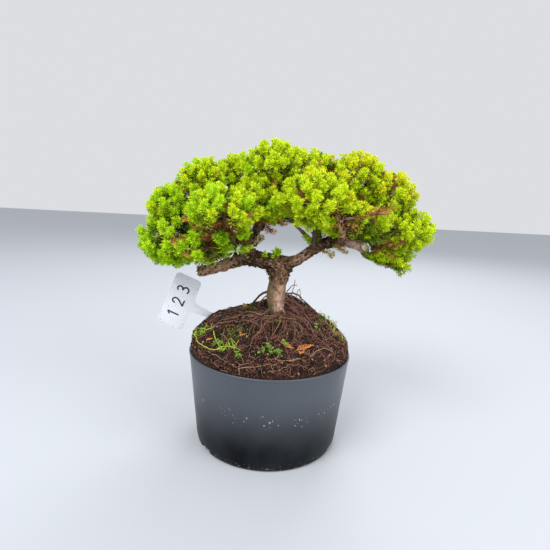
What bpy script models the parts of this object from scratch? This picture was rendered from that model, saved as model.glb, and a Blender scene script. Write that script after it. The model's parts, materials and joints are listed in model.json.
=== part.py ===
"""Juniper bonsai in a round plastic nursery pot, with a blank T-shaped plant label.

Run with: blender --background --python part.py
Sizes are in millimetres and turned to metres where meshes are made. +Z is up, the
origin is the middle of the pot's flat underside, and -Y is the front.
"""
import math
import random
from dataclasses import dataclass

import bmesh
import bpy
from mathutils import Matrix, Vector
from mathutils.bvhtree import BVHTree
from mathutils.kdtree import KDTree

MM = 0.001
GAP = 0.3          # kept between pieces that meet
WELD = 0.01        # points closer than this are one
SEED = 41

# Pot: a turned shell with slots cut through the corner of its base.
POT_RIM_RADIUS = 88.9
POT_BASE_RADIUS = 78.2
POT_HEIGHT = 101.4
POT_WALL = 1.6
POT_FLOOR = 2.4
POT_CORNER = 4.0
POT_CORNER_TURNS = (0.0, 40.0, 90.0)  # degrees round the corner at which it has a point
POT_HEEL = (72.5, 6.0)        # inside: where the floor ends, and where the wall begins
POT_LIP = (0.3, 2.0)          # how far the lip stands out, and its height
POT_SLOTS = 3
POT_SLOT_TURN = math.radians(-23.5)  # where the first one is
POT_SLOT_SIZE = (12.0, 19.0, 7.0)
POT_SLOT_PLACE = (1.0, 2.2)   # its middle: how far inside the base's edge, and how high
POT_SEGMENTS = 36             # the soil has as many, so that their flats lie side by side

# Soil: fills the pot and rises to a mound, flat round the trunk, with a hump behind it.
SOIL_RISE = 38.5
SOIL_BACK = (-40.0, 30.0)     # the slope turns from the front's to the back's between these
SOIL_BELOW_RIM = 1.5
SOIL_SHOULDER = (16.0, 15.0, 15.0, 18.0, 19.0, 8.0, 8.0, 16.0)  # over the rim, every 45 degrees from +X
SOIL_SHOULDER_RADIUS = 82.0
SOIL_SLOPE_POWER = (1.5, 5.0)  # nearly straight in front, full behind
SOIL_HUMP = (18.0, 42.0, 14.0, 21.0)  # its middle, height and spread
SOIL_BUMP = (1.4, 8.0, 9.5)   # height, and the length of its waves across and along
SOIL_FLAT = (31.0, 44.0)      # the bumps grow from nothing between these distances from the trunk
SOIL_RINGS = (24.0, 36.0, 47.0, 59.0, 71.0, SOIL_SHOULDER_RADIUS)

# Label: a rounded head on a tapering leg, in an upright plane.
LABEL_CENTRE = (-108.4, 25.0, 143.4)
LABEL_HEAD = (31.0, 64.0)
LABEL_CORNER = 4.5
LABEL_SHOULDER = 7.0
LABEL_LEG = (46.0, 5.5, 1.6)  # length past the head, half width at the neck, at the point
LABEL_THICK = 1.0
LABEL_LEAN = math.radians(-22.0)

# Trunk: route and radius of its stem, and the roots that spread over the ground.
GROUND = POT_HEIGHT + SOIL_RISE + GAP
TRUNK_SIDES = 4               # bevel resolution
TRUNK_FOOT = 6.0              # how far the trunk stands to the right of the pot's middle
TRUNK_STEM = (
    ((6.6, 0.0, 128.0), 8.4),
    ((6.6, 0.0, 141.0), 8.8),
    ((5.8, 0.0, 149.0), 9.4),
    ((4.3, 0.0, 159.0), 10.3),
    ((4.3, 0.0, 168.0), 10.3),
    ((5.4, 0.0, 175.5), 9.6),
    ((6.6, 0.0, 182.5), 10.5),
    ((5.3, 0.0, 191.5), 11.3),
    ((2.0, 0.0, 199.0), 9.6),
    ((-0.5, 0.0, 201.0), 5.6),
)
# Roots in the flare: the way they run in degrees, their reach, their top and their radius there.
FLARE_ROOTS = (
    (168.0, 25.0, 166.0, 2.0),
    (212.0, 19.0, 148.0, 2.0),
    (258.0, 14.0, 146.0, 2.6),
    (304.0, 20.0, 151.0, 2.1),
    (340.0, 24.0, 158.0, 2.0),
    (12.0, 24.0, 164.0, 2.2),
    (52.0, 23.0, 160.0, 2.5),
    (108.0, 19.0, 154.0, 2.6),
)
FLARE_TIP = 1.3
FLARE_KNEE = (0.6, 0.3)       # where a root bends: along its reach, and down its fall
FLARE_BURIED = (2.0, 6.0)     # how far it runs on outwards and down before it is cut off
GROUND_CUTTER = (200.0, 100.0)
SURFACE_ROOTS = 6
SURFACE_ROOT_RUN = (33.0, 76.0)
SURFACE_ROOT_RADII = (2.1, 0.8)
SURFACE_ROOT_STEPS = 5
SURFACE_ROOT_SHORTER = 14.0   # at most
SURFACE_ROOT_STRAY = 0.2      # of the angle between two roots
SURFACE_ROOT_WANDER = 0.35
ROOT_FEEL = 3.0               # how far round a root the ground is felt for its highest point
SURFACE_ROOT_ANGLES = (-160.0, 75.0)  # degrees round the trunk: left, round the front, to the right

# Limbs: curved tubes with a point about every LIMB_STEP.
LIMB_STEP = 12.0
THICK_LIMB = 3.0              # thicker limbs have more sides
LIMB_NEAR = 5.0               # limbs that come closer than this are cut clear of each other
BOUGH_DROOP = 0.35            # how much lower than straight ahead a bough enters its mass
BOUGH_PULL = 0.5              # of a bough's length, over which it turns in to its mass
TIP_DEPTH = 0.88              # where a bough's tip ends, as a part of its mass's radius
SAMPLE_STEP = 1.5             # along the limbs, for distance tests

# Foliage: sprays of needles that stand out of a smaller core.
CROWN_HEART = (0.0, 10.0, 225.0)
CORE_START = 4.0              # a core's least radius
CORE_STEP = 0.5
CORE_PART = 0.72              # of the mass's radius that its core takes up
CORE_ROUGH = 0.10
CORE_CLEAR = 2.2
CORE_MARGIN = 0.12            # kept to the border with a neighbouring mass, as a part of their radii
SPRAY_MARGIN = 0.03
LIMB_CLEAR = 1.0
SPRAY_LENGTH = (19.0, 25.0)
SPRAY_STALK = 0.62            # of the spray's length, below its end needle
SPRAY_RADIUS = 3.3
SPRAY_FULL_MASS = 24.0        # a mass thinner than this has sprays that are smaller by as much
SPRAY_FOOT = 0.75             # of its radius, where it starts
SPRAY_SPREAD = (8.0, 0.74)    # to the points of its side needles: from its axis, and along it
SPRAY_PITCH = 24.0            # spacing of the sprays over a mass
SPRAY_OUTWARD = 0.35          # how much a spray leans away from the crown's heart
SPRAY_STRAY = 0.25
SPRAY_RISE = 0.35             # at most
SPRAY_TRIES = (1.0, 0.965)    # how far out of its mass a spray ends: first, and where that isn't free
SPRAY_EDGE_SPOTS = (0.2, 0.4, 0.6, 0.8)  # along an edge, tested for room
MASS_RIM = 0.985
TWIG_RADIUS = 1.3
TWIG_TAPER = 0.8
TWIG_START = 0.2              # from a mass's middle to the spray's foot
TWIG_SUNK = 0.25              # of the spray's length
PATH_STEP = 2.0
STEM_STRAIGHT = 9.0           # the first stretch of a mass's stem, in line with its bough
STEM_TAPER = 0.9
GOLDEN = math.pi * (3.0 - math.sqrt(5.0))


@dataclass(frozen=True)
class Limb:
    """A tapering limb: where it leaves its parent, its end, its sideways bend and its radii."""
    parent: str
    leaves_at: float
    end: tuple
    bend: tuple
    radii: tuple


@dataclass(frozen=True)
class Mass:
    """A mass of foliage: its middle, its radii, and the limb its own bough grows from."""
    centre: tuple
    radii: tuple
    parent: str
    leaves_at: float
    bough: tuple = (2.6, 1.5)


LIMBS = {
    "bough_left": Limb("trunk", 0.88, (-33.0, 0.0, 202.6), (0.0, 0.0, 0.5), (8.6, 8.0)),
    "bough_right": Limb("trunk", 0.82, (38.0, 0.0, 212.0), (2.0, 0.0, -2.0), (6.4, 5.2)),
    "bough_right_outer": Limb("bough_right", 1.0, (67.5, 1.0, 225.6), (0.0, 0.0, 2.0), (5.2, 5.7)),
    "stub_left": Limb("bough_left", 0.94, (-83.0, -3.0, 183.5), (-2.0, 0.0, -2.0), (6.9, 5.0)),
    "stub_right": Limb("bough_right_outer", 0.96, (99.0, -4.0, 218.6), (0.0, 0.0, 2.0), (5.1, 4.5)),
    "riser_left": Limb("bough_left", 0.93, (-14.0, 3.0, 239.0), (-5.0, 0.0, 1.0), (6.2, 4.4)),
    "riser_right": Limb("bough_right_outer", 0.97, (71.0, 0.0, 253.0), (-3.0, 0.0, 0.0), (3.4, 2.8)),
    "arm_left": Limb("bough_left", 0.97, (-70.0, 17.0, 222.0), (0.0, 5.0, -3.0), (5.2, 4.0)),
    "arm_right": Limb("bough_right_outer", 0.98, (108.0, 12.0, 236.0), (0.0, 4.0, -2.0), (4.0, 3.0)),
    "arm_rear": Limb("bough_right_outer", 0.30, (50.0, 42.0, 241.0), (0.0, 2.0, -4.0), (4.2, 3.4)),
    "cross_branch": Limb("bough_right_outer", 0.33, (17.5, -1.0, 244.0), (0.0, 0.0, -1.2), (2.6, 1.8)),
}

MASSES = {
    "foliage_left_low": Mass((-110.0, 2.0, 219.0), (40.0, 41.0, 32.5), "arm_left", 0.95),
    "foliage_left_under": Mass((-70.0, -18.0, 214.0), (35.0, 29.0, 23.0), "arm_left", 0.25),
    "foliage_left_mid": Mass((-110.0, 12.0, 256.0), (32.0, 39.0, 26.0), "arm_left", 0.90),
    "foliage_left_top": Mass((-79.0, 15.0, 284.0), (34.0, 37.0, 29.0), "arm_left", 0.70),
    "foliage_left_front": Mass((-49.0, -41.0, 250.0), (41.0, 36.0, 32.0), "bough_left", 0.90),
    "foliage_crown_left": Mass((-43.0, 32.0, 290.0), (30.0, 35.0, 27.0), "riser_left", 0.90),
    "foliage_crown_top": Mass((-2.0, 4.0, 300.0), (39.0, 41.0, 30.0), "riser_left", 1.0),
    "foliage_crown_right": Mass((35.0, 19.0, 297.0), (33.0, 37.0, 28.0), "arm_rear", 0.80),
    "foliage_centre": Mass((-17.0, -11.0, 264.0), (34.0, 35.0, 27.0), "riser_left", 0.80),
    "foliage_right_front": Mass((38.0, -40.0, 267.0), (41.0, 36.0, 32.0), "bough_right_outer", 0.12),
    "foliage_right_top": Mass((83.0, 2.0, 292.0), (35.0, 41.0, 30.0), "riser_right", 1.0),
    "foliage_right_out": Mass((119.5, 8.0, 279.0), (32.0, 39.0, 27.0), "arm_right", 0.85),
    "foliage_right_low": Mass((137.0, 4.0, 241.0), (36.0, 39.0, 26.0), "arm_right", 1.0),
    "foliage_right_trail": Mass((126.5, -8.0, 206.0), (25.0, 13.0, 12.0), "stub_right", 0.80,
                                (1.8, 1.2)),
    "foliage_right_mid": Mass((79.0, -26.0, 247.0), (39.0, 31.0, 24.0), "bough_right_outer", 0.80),
    "foliage_rear_left": Mass((-62.0, 63.0, 257.0), (47.0, 39.0, 33.0), "arm_left", 0.45),
    "foliage_rear_centre": Mass((2.0, 70.0, 270.0), (43.0, 39.0, 34.0), "arm_rear", 1.0),
    "foliage_rear_right": Mass((74.0, 59.0, 261.0), (47.0, 41.0, 33.0), "arm_rear", 0.90),
}

COLOURS = {
    "pot": ((0.018, 0.020, 0.024), 0.42),
    "soil": ((0.030, 0.017, 0.011), 0.95),
    "label": ((0.72, 0.74, 0.78), 0.35),
    "bark": ((0.135, 0.078, 0.050), 0.85),
    "root": ((0.120, 0.060, 0.036), 0.85),
    "foliage": ((0.250, 0.420, 0.022), 0.60),
}


def to_metres(point):
    """A point in millimetres as a vector in metres."""
    return Vector(point) * MM


def material(kind):
    """The Principled material of one kind of piece, made once."""
    found = bpy.data.materials.get(kind)
    if found:
        return found
    colour, roughness = COLOURS[kind]
    made = bpy.data.materials.new(kind)
    made.use_nodes = True
    shader = made.node_tree.nodes["Principled BSDF"]
    shader.inputs["Base Color"].default_value = (*colour, 1.0)
    shader.inputs["Roughness"].default_value = roughness
    shader.inputs["Metallic"].default_value = 0.0
    made.diffuse_color = (*colour, 1.0)
    return made


def new_object(name, mesh, collection):
    """An object of a mesh in a collection."""
    obj = bpy.data.objects.new(name, mesh)
    collection.objects.link(obj)
    return obj


def finish(obj, kind):
    """Give a piece its material and smooth shading with sharp edges kept."""
    obj.data.materials.clear()
    obj.data.materials.append(material(kind))
    obj.data.shade_smooth()
    obj.data.set_sharp_from_angle(angle=math.radians(38.0))


def as_mesh(obj):
    """Replace an object by the mesh of what it evaluates to, with its points welded."""
    depsgraph = bpy.context.evaluated_depsgraph_get()
    mesh = bpy.data.meshes.new_from_object(obj.evaluated_get(depsgraph))
    work = bmesh.new()
    work.from_mesh(mesh)
    bmesh.ops.remove_doubles(work, verts=work.verts, dist=WELD * MM)
    work.to_mesh(mesh)
    work.free()
    name, collection = obj.name, obj.users_collection[0]
    placed = obj.matrix_world.copy()
    bpy.data.objects.remove(obj)
    made = new_object(name, mesh, collection)
    made.matrix_world = placed
    return made


def keep_largest(mesh):
    """Drop loose scraps and sealed hollows: only the largest shell stays."""
    work = bmesh.new()
    work.from_mesh(mesh)
    bmesh.ops.remove_doubles(work, verts=work.verts, dist=WELD * MM / 5)
    shells, seen = [], set()
    for face in work.faces:
        if face in seen:
            continue
        shell, front = [], [face]
        seen.add(face)
        while front:
            here = front.pop()
            shell.append(here)
            for edge in here.edges:
                for other in edge.link_faces:
                    if other not in seen:
                        seen.add(other)
                        front.append(other)
        shells.append(shell)
    shells.sort(key=lambda shell: sum(face.calc_area() for face in shell), reverse=True)
    scraps = [face for shell in shells[1:] for face in shell]
    bmesh.ops.delete(work, geom=scraps, context="FACES")
    work.to_mesh(mesh)
    work.free()


def boolean(obj, operation, other=None, collection=None):
    """Apply one Boolean with an object or with a whole collection."""
    cut = obj.modifiers.new(operation.lower(), "BOOLEAN")
    cut.operation = operation
    cut.solver = "EXACT"
    if collection:
        cut.operand_type = "COLLECTION"
        cut.collection = collection
    else:
        cut.object = other
    depsgraph = bpy.context.evaluated_depsgraph_get()
    mesh = bpy.data.meshes.new_from_object(obj.evaluated_get(depsgraph))
    obj.modifiers.clear()
    keep_largest(mesh)
    obj.data = mesh


def turned(name, profile, segments, collection):
    """A solid turned about Z from a profile that runs top to bottom on its outer side."""
    mesh = bpy.data.meshes.new(name)
    mesh.from_pydata([to_metres(point) for point in profile],
                     [(i, i + 1) for i in range(len(profile) - 1)], [])
    obj = new_object(name, mesh, collection)
    screw = obj.modifiers.new("turn", "SCREW")
    screw.steps = segments
    screw.render_steps = segments
    screw.use_merge_vertices = True
    screw.merge_threshold = WELD * MM
    return as_mesh(obj)


def tube(name, points, radii, sides, collection):
    """A tapering tube through points, with flat ends."""
    curve = bpy.data.curves.new(name, "CURVE")
    curve.dimensions = "3D"
    curve.bevel_depth = MM
    curve.bevel_resolution = sides
    curve.use_fill_caps = True
    spline = curve.splines.new("POLY")
    spline.points.add(len(points) - 1)
    for place, point, radius in zip(spline.points, points, radii):
        place.co = (*to_metres(point), 1.0)
        place.radius = radius
    obj = bpy.data.objects.new(name, curve)
    collection.objects.link(obj)
    bpy.context.view_layer.update()
    return as_mesh(obj)


def pot_wall_radius(z):
    """The outer radius of the pot's straight wall at a height."""
    return POT_BASE_RADIUS + (POT_RIM_RADIUS - POT_LIP[0] - POT_BASE_RADIUS) * z / POT_HEIGHT


def build_pot(parts, tools):
    """The pot: a thin turned shell, open at the top, with slots through its base corner."""
    lip, lip_height = POT_LIP
    edge = pot_wall_radius(POT_HEIGHT)
    corner = [(POT_BASE_RADIUS - POT_CORNER * (1.0 - math.cos(turn)), 0.0,
               POT_CORNER * (1.0 - math.sin(turn)))
              for turn in map(math.radians, POT_CORNER_TURNS)]
    neck = POT_HEIGHT - lip_height - lip
    profile = [(edge - POT_WALL, 0.0, POT_HEIGHT), (edge + lip, 0.0, POT_HEIGHT),
               (edge + lip, 0.0, POT_HEIGHT - lip_height), (pot_wall_radius(neck), 0.0, neck)]
    profile += corner + [(0.0, 0.0, 0.0)]
    profile += [(0.0, 0.0, POT_FLOOR), (POT_HEEL[0], 0.0, POT_FLOOR),
                (pot_wall_radius(POT_HEEL[1]) - POT_WALL, 0.0, POT_HEEL[1]),
                (edge - POT_WALL, 0.0, POT_HEIGHT)]
    pot = turned("pot", profile, POT_SEGMENTS, parts)
    inside, high = POT_SLOT_PLACE
    out = POT_BASE_RADIUS - inside
    for index in range(POT_SLOTS):
        turn = math.tau * index / POT_SLOTS + POT_SLOT_TURN
        bpy.ops.mesh.primitive_cube_add(size=1.0)
        slot = bpy.context.object
        slot.name = f"slot_cutter_{index + 1}"
        slot.scale = to_metres(POT_SLOT_SIZE)
        slot.rotation_euler.z = turn
        slot.location = to_metres((out * math.cos(turn), out * math.sin(turn), high))
        cutter(slot, tools)
    boolean(pot, "DIFFERENCE", collection=tools)
    clear(tools)
    finish(pot, "pot")


def cutter(obj, tools):
    """Mark an object as a cutter and put it with the cutters."""
    for home in list(obj.users_collection):
        home.objects.unlink(obj)
    tools.objects.link(obj)
    obj.hide_render = True
    obj.display_type = "WIRE"
    bpy.context.view_layer.update()


def clear(collection):
    """Remove all of a collection's objects."""
    for obj in list(collection.objects):
        bpy.data.objects.remove(obj)


def smooth_step(value, low, high):
    """0 below low, 1 above high, and a smooth rise between."""
    part = min(max((value - low) / (high - low), 0.0), 1.0)
    return part * part * (3.0 - 2.0 * part)


def shoulder_height(angle):
    """How far the mound's shoulder stands over the rim, in one direction."""
    place = (angle % math.tau) / math.tau * len(SOIL_SHOULDER)
    low = int(place) % len(SOIL_SHOULDER)
    part = smooth_step(place - int(place), 0.0, 1.0)
    return SOIL_SHOULDER[low] * (1.0 - part) + SOIL_SHOULDER[(low + 1) % len(SOIL_SHOULDER)] * part


def ground_height(x, y):
    """The height of the soil mound at a place inside its shoulder."""
    radius = math.hypot(x, y)
    front, back = SOIL_SLOPE_POWER
    power = front + (back - front) * smooth_step(y, *SOIL_BACK)
    fall = min(radius / SOIL_SHOULDER_RADIUS, 1.0) ** power
    height = SOIL_RISE * (1.0 - fall) + shoulder_height(math.atan2(y, x)) * fall
    hump_x, hump_y, hump, spread = SOIL_HUMP
    height += hump * math.exp(-((x - hump_x) ** 2 + (y - hump_y) ** 2) / (2.0 * spread ** 2))
    bump, across, along = SOIL_BUMP
    height += bump * math.sin(x / across + 0.8) * math.cos(y / along)
    loose = smooth_step(math.hypot(x - TRUNK_FOOT, y), *SOIL_FLAT)
    return POT_HEIGHT + SOIL_RISE + (height - SOIL_RISE) * loose


def build_soil(parts, label):
    """The soil: a turned filling whose top is raised to the mound, with a slit for the label."""
    top = POT_HEIGHT - SOIL_BELOW_RIM
    inset = POT_WALL + GAP
    floor = POT_FLOOR + GAP
    profile = [(0.0, 0.0, GROUND)]
    profile += [(ring, 0.0, GROUND) for ring in SOIL_RINGS]
    profile += [(pot_wall_radius(top) - inset, 0.0, top),
                (pot_wall_radius(POT_HEEL[1]) - inset, 0.0, POT_HEEL[1] + GAP),
                (POT_HEEL[0] - GAP, 0.0, floor), (0.0, 0.0, floor)]
    soil = turned("soil", profile, POT_SEGMENTS, parts)
    for vertex in soil.data.vertices:
        x, y, z = vertex.co / MM
        if z > top + GAP:
            vertex.co.z = ground_height(x, y) * MM
    slit = new_object("slit_cutter", label_mesh(LABEL_THICK + 2 * GAP, GAP), label.users_collection[0])
    slit.matrix_world = label.matrix_world
    boolean(soil, "DIFFERENCE", slit)
    bpy.data.objects.remove(slit)
    finish(soil, "soil")
    return soil


def arc(centre, radius, start, stop, steps):
    """Points of an arc, from one angle in degrees to another."""
    turns = (math.radians(start + (stop - start) * i / steps) for i in range(steps + 1))
    return [(centre[0] + radius * math.cos(turn), centre[1] + radius * math.sin(turn)) for turn in turns]


def label_outline(grow):
    """The label's outline, its leg towards +X, made larger all round by grow."""
    wide, tall = LABEL_HEAD[0] / 2 + grow, LABEL_HEAD[1] / 2 + grow
    round_in = LABEL_CORNER
    leg, neck, point = LABEL_LEG[0] + grow, LABEL_LEG[1] + grow, LABEL_LEG[2] + grow
    half = arc((wide + LABEL_SHOULDER, neck + LABEL_SHOULDER), LABEL_SHOULDER, 270, 180, 4)
    half += arc((wide - round_in, tall - round_in), round_in, 0, 90, 4)
    half += arc((-wide + round_in, tall - round_in), round_in, 90, 180, 4)
    half = [(wide + leg, point)] + half
    return half + [(x, -y) for x, y in reversed(half)]


def label_mesh(thick, grow):
    """A flat label of a thickness, as a closed mesh in its own plane."""
    curve = bpy.data.curves.new("label_outline", "CURVE")
    curve.dimensions = "2D"
    curve.fill_mode = "BOTH"
    curve.extrude = thick / 2 * MM
    spline = curve.splines.new("POLY")
    outline = label_outline(grow)
    spline.points.add(len(outline) - 1)
    for place, (x, y) in zip(spline.points, outline):
        place.co = (x * MM, y * MM, 0.0, 1.0)
    spline.use_cyclic_u = True
    obj = bpy.data.objects.new("label_outline", curve)
    bpy.context.scene.collection.objects.link(obj)
    bpy.context.view_layer.update()
    solid = as_mesh(obj)
    mesh = solid.data
    bpy.data.objects.remove(solid)
    return mesh


def build_label(parts):
    """The blank plant label, stood in the soil at a slant."""
    label = new_object("plant_label", label_mesh(LABEL_THICK, 0.0), parts)
    upright = Matrix.Rotation(math.radians(90.0), 4, "X")
    lean = Matrix.Rotation(LABEL_LEAN, 4, "Z")
    label.matrix_world = Matrix.Translation(to_metres(LABEL_CENTRE)) @ upright @ lean
    bpy.context.view_layer.update()
    finish(label, "label")
    return label


class Skeleton:
    """The routes of all limbs, and how far any point is from them."""

    def __init__(self):
        self.routes = {"trunk": ([Vector(point) for point, _ in TRUNK_STEM],
                                 [radius for _, radius in TRUNK_STEM])}
        for name, limb in LIMBS.items():
            start, _ = self.at(limb.parent, limb.leaves_at)
            end = Vector(limb.end)
            control = (start + end) / 2 + Vector(limb.bend) * 2
            self.add(name, start, control, end, limb.radii)
        for name, mass in MASSES.items():
            start, _ = self.at(mass.parent, mass.leaves_at)
            centre, radii = Vector(mass.centre), Vector(mass.radii)
            way = (start - centre).normalized() - Vector((0.0, 0.0, BOUGH_DROOP))
            tip = centre + way * (TIP_DEPTH / scaled(way, radii).length)
            inward = (centre - tip).normalized()
            control = tip - inward * (tip - start).length * BOUGH_PULL
            self.add(bough_name(name), start, control, tip, mass.bough)
        self.index()

    def at(self, name, part):
        """The point and radius at a part of a limb's length."""
        points, radii = self.routes[name]
        place = part * (len(points) - 1)
        low = min(int(place), len(points) - 2)
        rest = place - low
        return points[low].lerp(points[low + 1], rest), radii[low] + (radii[low + 1] - radii[low]) * rest

    def add(self, name, start, control, end, radii):
        """Add a curved, evenly tapering route."""
        count = max(4, round((end - start).length / LIMB_STEP) + 1)
        parts = [i / (count - 1) for i in range(count)]
        points = [start * (1 - t) ** 2 + control * 2 * t * (1 - t) + end * t * t for t in parts]
        self.routes[name] = (points, [radii[0] + (radii[1] - radii[0]) * t for t in parts])

    def samples(self, name):
        """Points closely spaced along a limb, and the radius at each."""
        points, radii = self.routes[name]
        spots, widths = [], []
        for low in range(len(points) - 1):
            steps = max(2, round((points[low + 1] - points[low]).length / SAMPLE_STEP))
            for step in range(steps + 1):
                part = step / steps
                spots.append(points[low].lerp(points[low + 1], part))
                widths.append(radii[low] + (radii[low + 1] - radii[low]) * part)
        return spots, widths

    def index(self):
        """Gather the samples of every limb for distance tests."""
        spots, self.widths = [], []
        for name in self.routes:
            points, radii = self.samples(name)
            spots += points
            self.widths += radii
        self.widest = max(self.widths)
        self.tree = KDTree(len(spots))
        for number, point in enumerate(spots):
            self.tree.insert(point, number)
        self.tree.balance()

    def clear_of(self, point, clearance):
        """Whether a point keeps a clearance to every limb."""
        for _, number, distance in self.tree.find_range(point, self.widest + clearance):
            if distance < self.widths[number] + clearance:
                return False
        return True


def bough_name(mass_name):
    """The name of the bough that carries a mass."""
    return mass_name.replace("foliage_", "bough_to_")


def scaled(offset, radii):
    """An offset in units of the radii along each axis."""
    return Vector((offset.x / radii.x, offset.y / radii.y, offset.z / radii.z))


def build_trunk(skeleton, parts, tools):
    """The trunk: its stem and the roots that flare from it, cut flat at the ground."""
    points, radii = skeleton.routes["trunk"]
    trunk = tube("trunk", points, radii, TRUNK_SIDES, parts)
    for index, (way, reach, high, radius) in enumerate(FLARE_ROOTS):
        turn = math.radians(way)
        out = Vector((math.cos(turn), math.sin(turn), 0.0))
        heart = Vector((TRUNK_FOOT, 0.0, high))
        foot = Vector((TRUNK_FOOT, 0.0, GROUND)) + out * reach
        along, down = FLARE_KNEE
        knee = heart + out * reach * along + Vector((0.0, 0.0, (GROUND - high) * down))
        onward, deeper = FLARE_BURIED
        end = foot + out * onward - Vector((0.0, 0.0, deeper))
        cutter(tube(f"flare_{index + 1}", [heart, knee, foot, end],
                    [radius, radius * 0.9, FLARE_TIP, FLARE_TIP], 2, tools), tools)
    boolean(trunk, "UNION", collection=tools)
    clear(tools)
    wide, deep = GROUND_CUTTER
    bpy.ops.mesh.primitive_cube_add(size=1.0)
    below = bpy.context.object
    below.scale = to_metres((wide, wide, deep))
    below.location = to_metres((0.0, 0.0, GROUND - deep / 2))
    cutter(below, tools)
    boolean(trunk, "DIFFERENCE", below)
    clear(tools)
    finish(trunk, "bark")


def build_limbs(skeleton, parts, tools):
    """Every limb: a tapering tube, cut clear of the limbs that were made before it."""
    made = ["trunk"]
    for name, (points, radii) in skeleton.routes.items():
        if name == "trunk":
            continue
        limb = tube(name, points, radii, limb_sides(radii), parts)
        for other in made:
            if near(skeleton.routes[name], skeleton.routes[other]):
                cutter(grown_tube(skeleton.routes[other], other == "trunk", tools), tools)
        boolean(limb, "DIFFERENCE", collection=tools)
        clear(tools)
        finish(limb, "bark")
        made.append(name)


def limb_sides(radii):
    """The bevel resolution of a limb: thin ones are squarer."""
    return 2 if radii[0] > THICK_LIMB else 1


def near(first, second):
    """Whether two routes come close enough to touch, at their points or between them."""
    points, radii = second
    middles = [points[i].lerp(points[i + 1], 0.5) for i in range(len(points) - 1)]
    spots = list(zip(points, radii)) + list(zip(middles, radii))
    return any((a - b).length < ra + rb + LIMB_NEAR for a, ra in zip(*first) for b, rb in spots)


def grown_tube(route, is_trunk, tools):
    """A cutter a little larger than a limb."""
    points, radii = [point.copy() for point in route[0]], route[1]
    room = GAP * 1.2
    points[0] += (points[0] - points[1]).normalized() * room
    points[-1] += (points[-1] - points[-2]).normalized() * room
    sides = TRUNK_SIDES if is_trunk else limb_sides(radii)
    return tube("grown", points, [radius + room for radius in radii], sides, tools)


def resting_height(surface, x, y):
    """The highest that a surface comes within a root's width of a place."""
    spots = [(x + ROOT_FEEL * i, y + ROOT_FEEL * j) for i in (-1, 0, 1) for j in (-1, 0, 1)]
    down = Vector((0.0, 0.0, -1.0))
    hits = [surface.ray_cast(to_metres((a, b, GROUND + 20.0)), down)[0] for a, b in spots]
    return max(hit.z for hit in hits if hit) / MM


def build_surface_roots(parts, soil):
    """Roots that lie on the mound and run out from the foot of the trunk."""
    rng = random.Random(SEED + 1)
    surface = BVHTree.FromObject(soil, bpy.context.evaluated_depsgraph_get())
    first, last = SURFACE_ROOT_ANGLES
    thick, thin = SURFACE_ROOT_RADII
    for index in range(SURFACE_ROOTS):
        place = index + rng.uniform(-SURFACE_ROOT_STRAY, SURFACE_ROOT_STRAY)
        turn = math.radians(first + (last - first) * place / (SURFACE_ROOTS - 1))
        begin, end = SURFACE_ROOT_RUN
        end -= rng.uniform(0.0, SURFACE_ROOT_SHORTER)
        wander = rng.uniform(-SURFACE_ROOT_WANDER, SURFACE_ROOT_WANDER)
        points, radii = [], []
        for step in range(SURFACE_ROOT_STEPS + 1):
            part = step / SURFACE_ROOT_STEPS
            angle = turn + wander * math.sin(part * 3.0)
            distance = begin + (end - begin) * part
            radius = thick + (thin - thick) * part
            x, y = TRUNK_FOOT * (1 - part) + distance * math.cos(angle), distance * math.sin(angle)
            points.append(Vector((x, y, resting_height(surface, x, y) + radius + GAP)))
            radii.append(radius)
        finish(tube(f"surface_root_{index + 1}", points, radii, 1, parts), "root")


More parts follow.
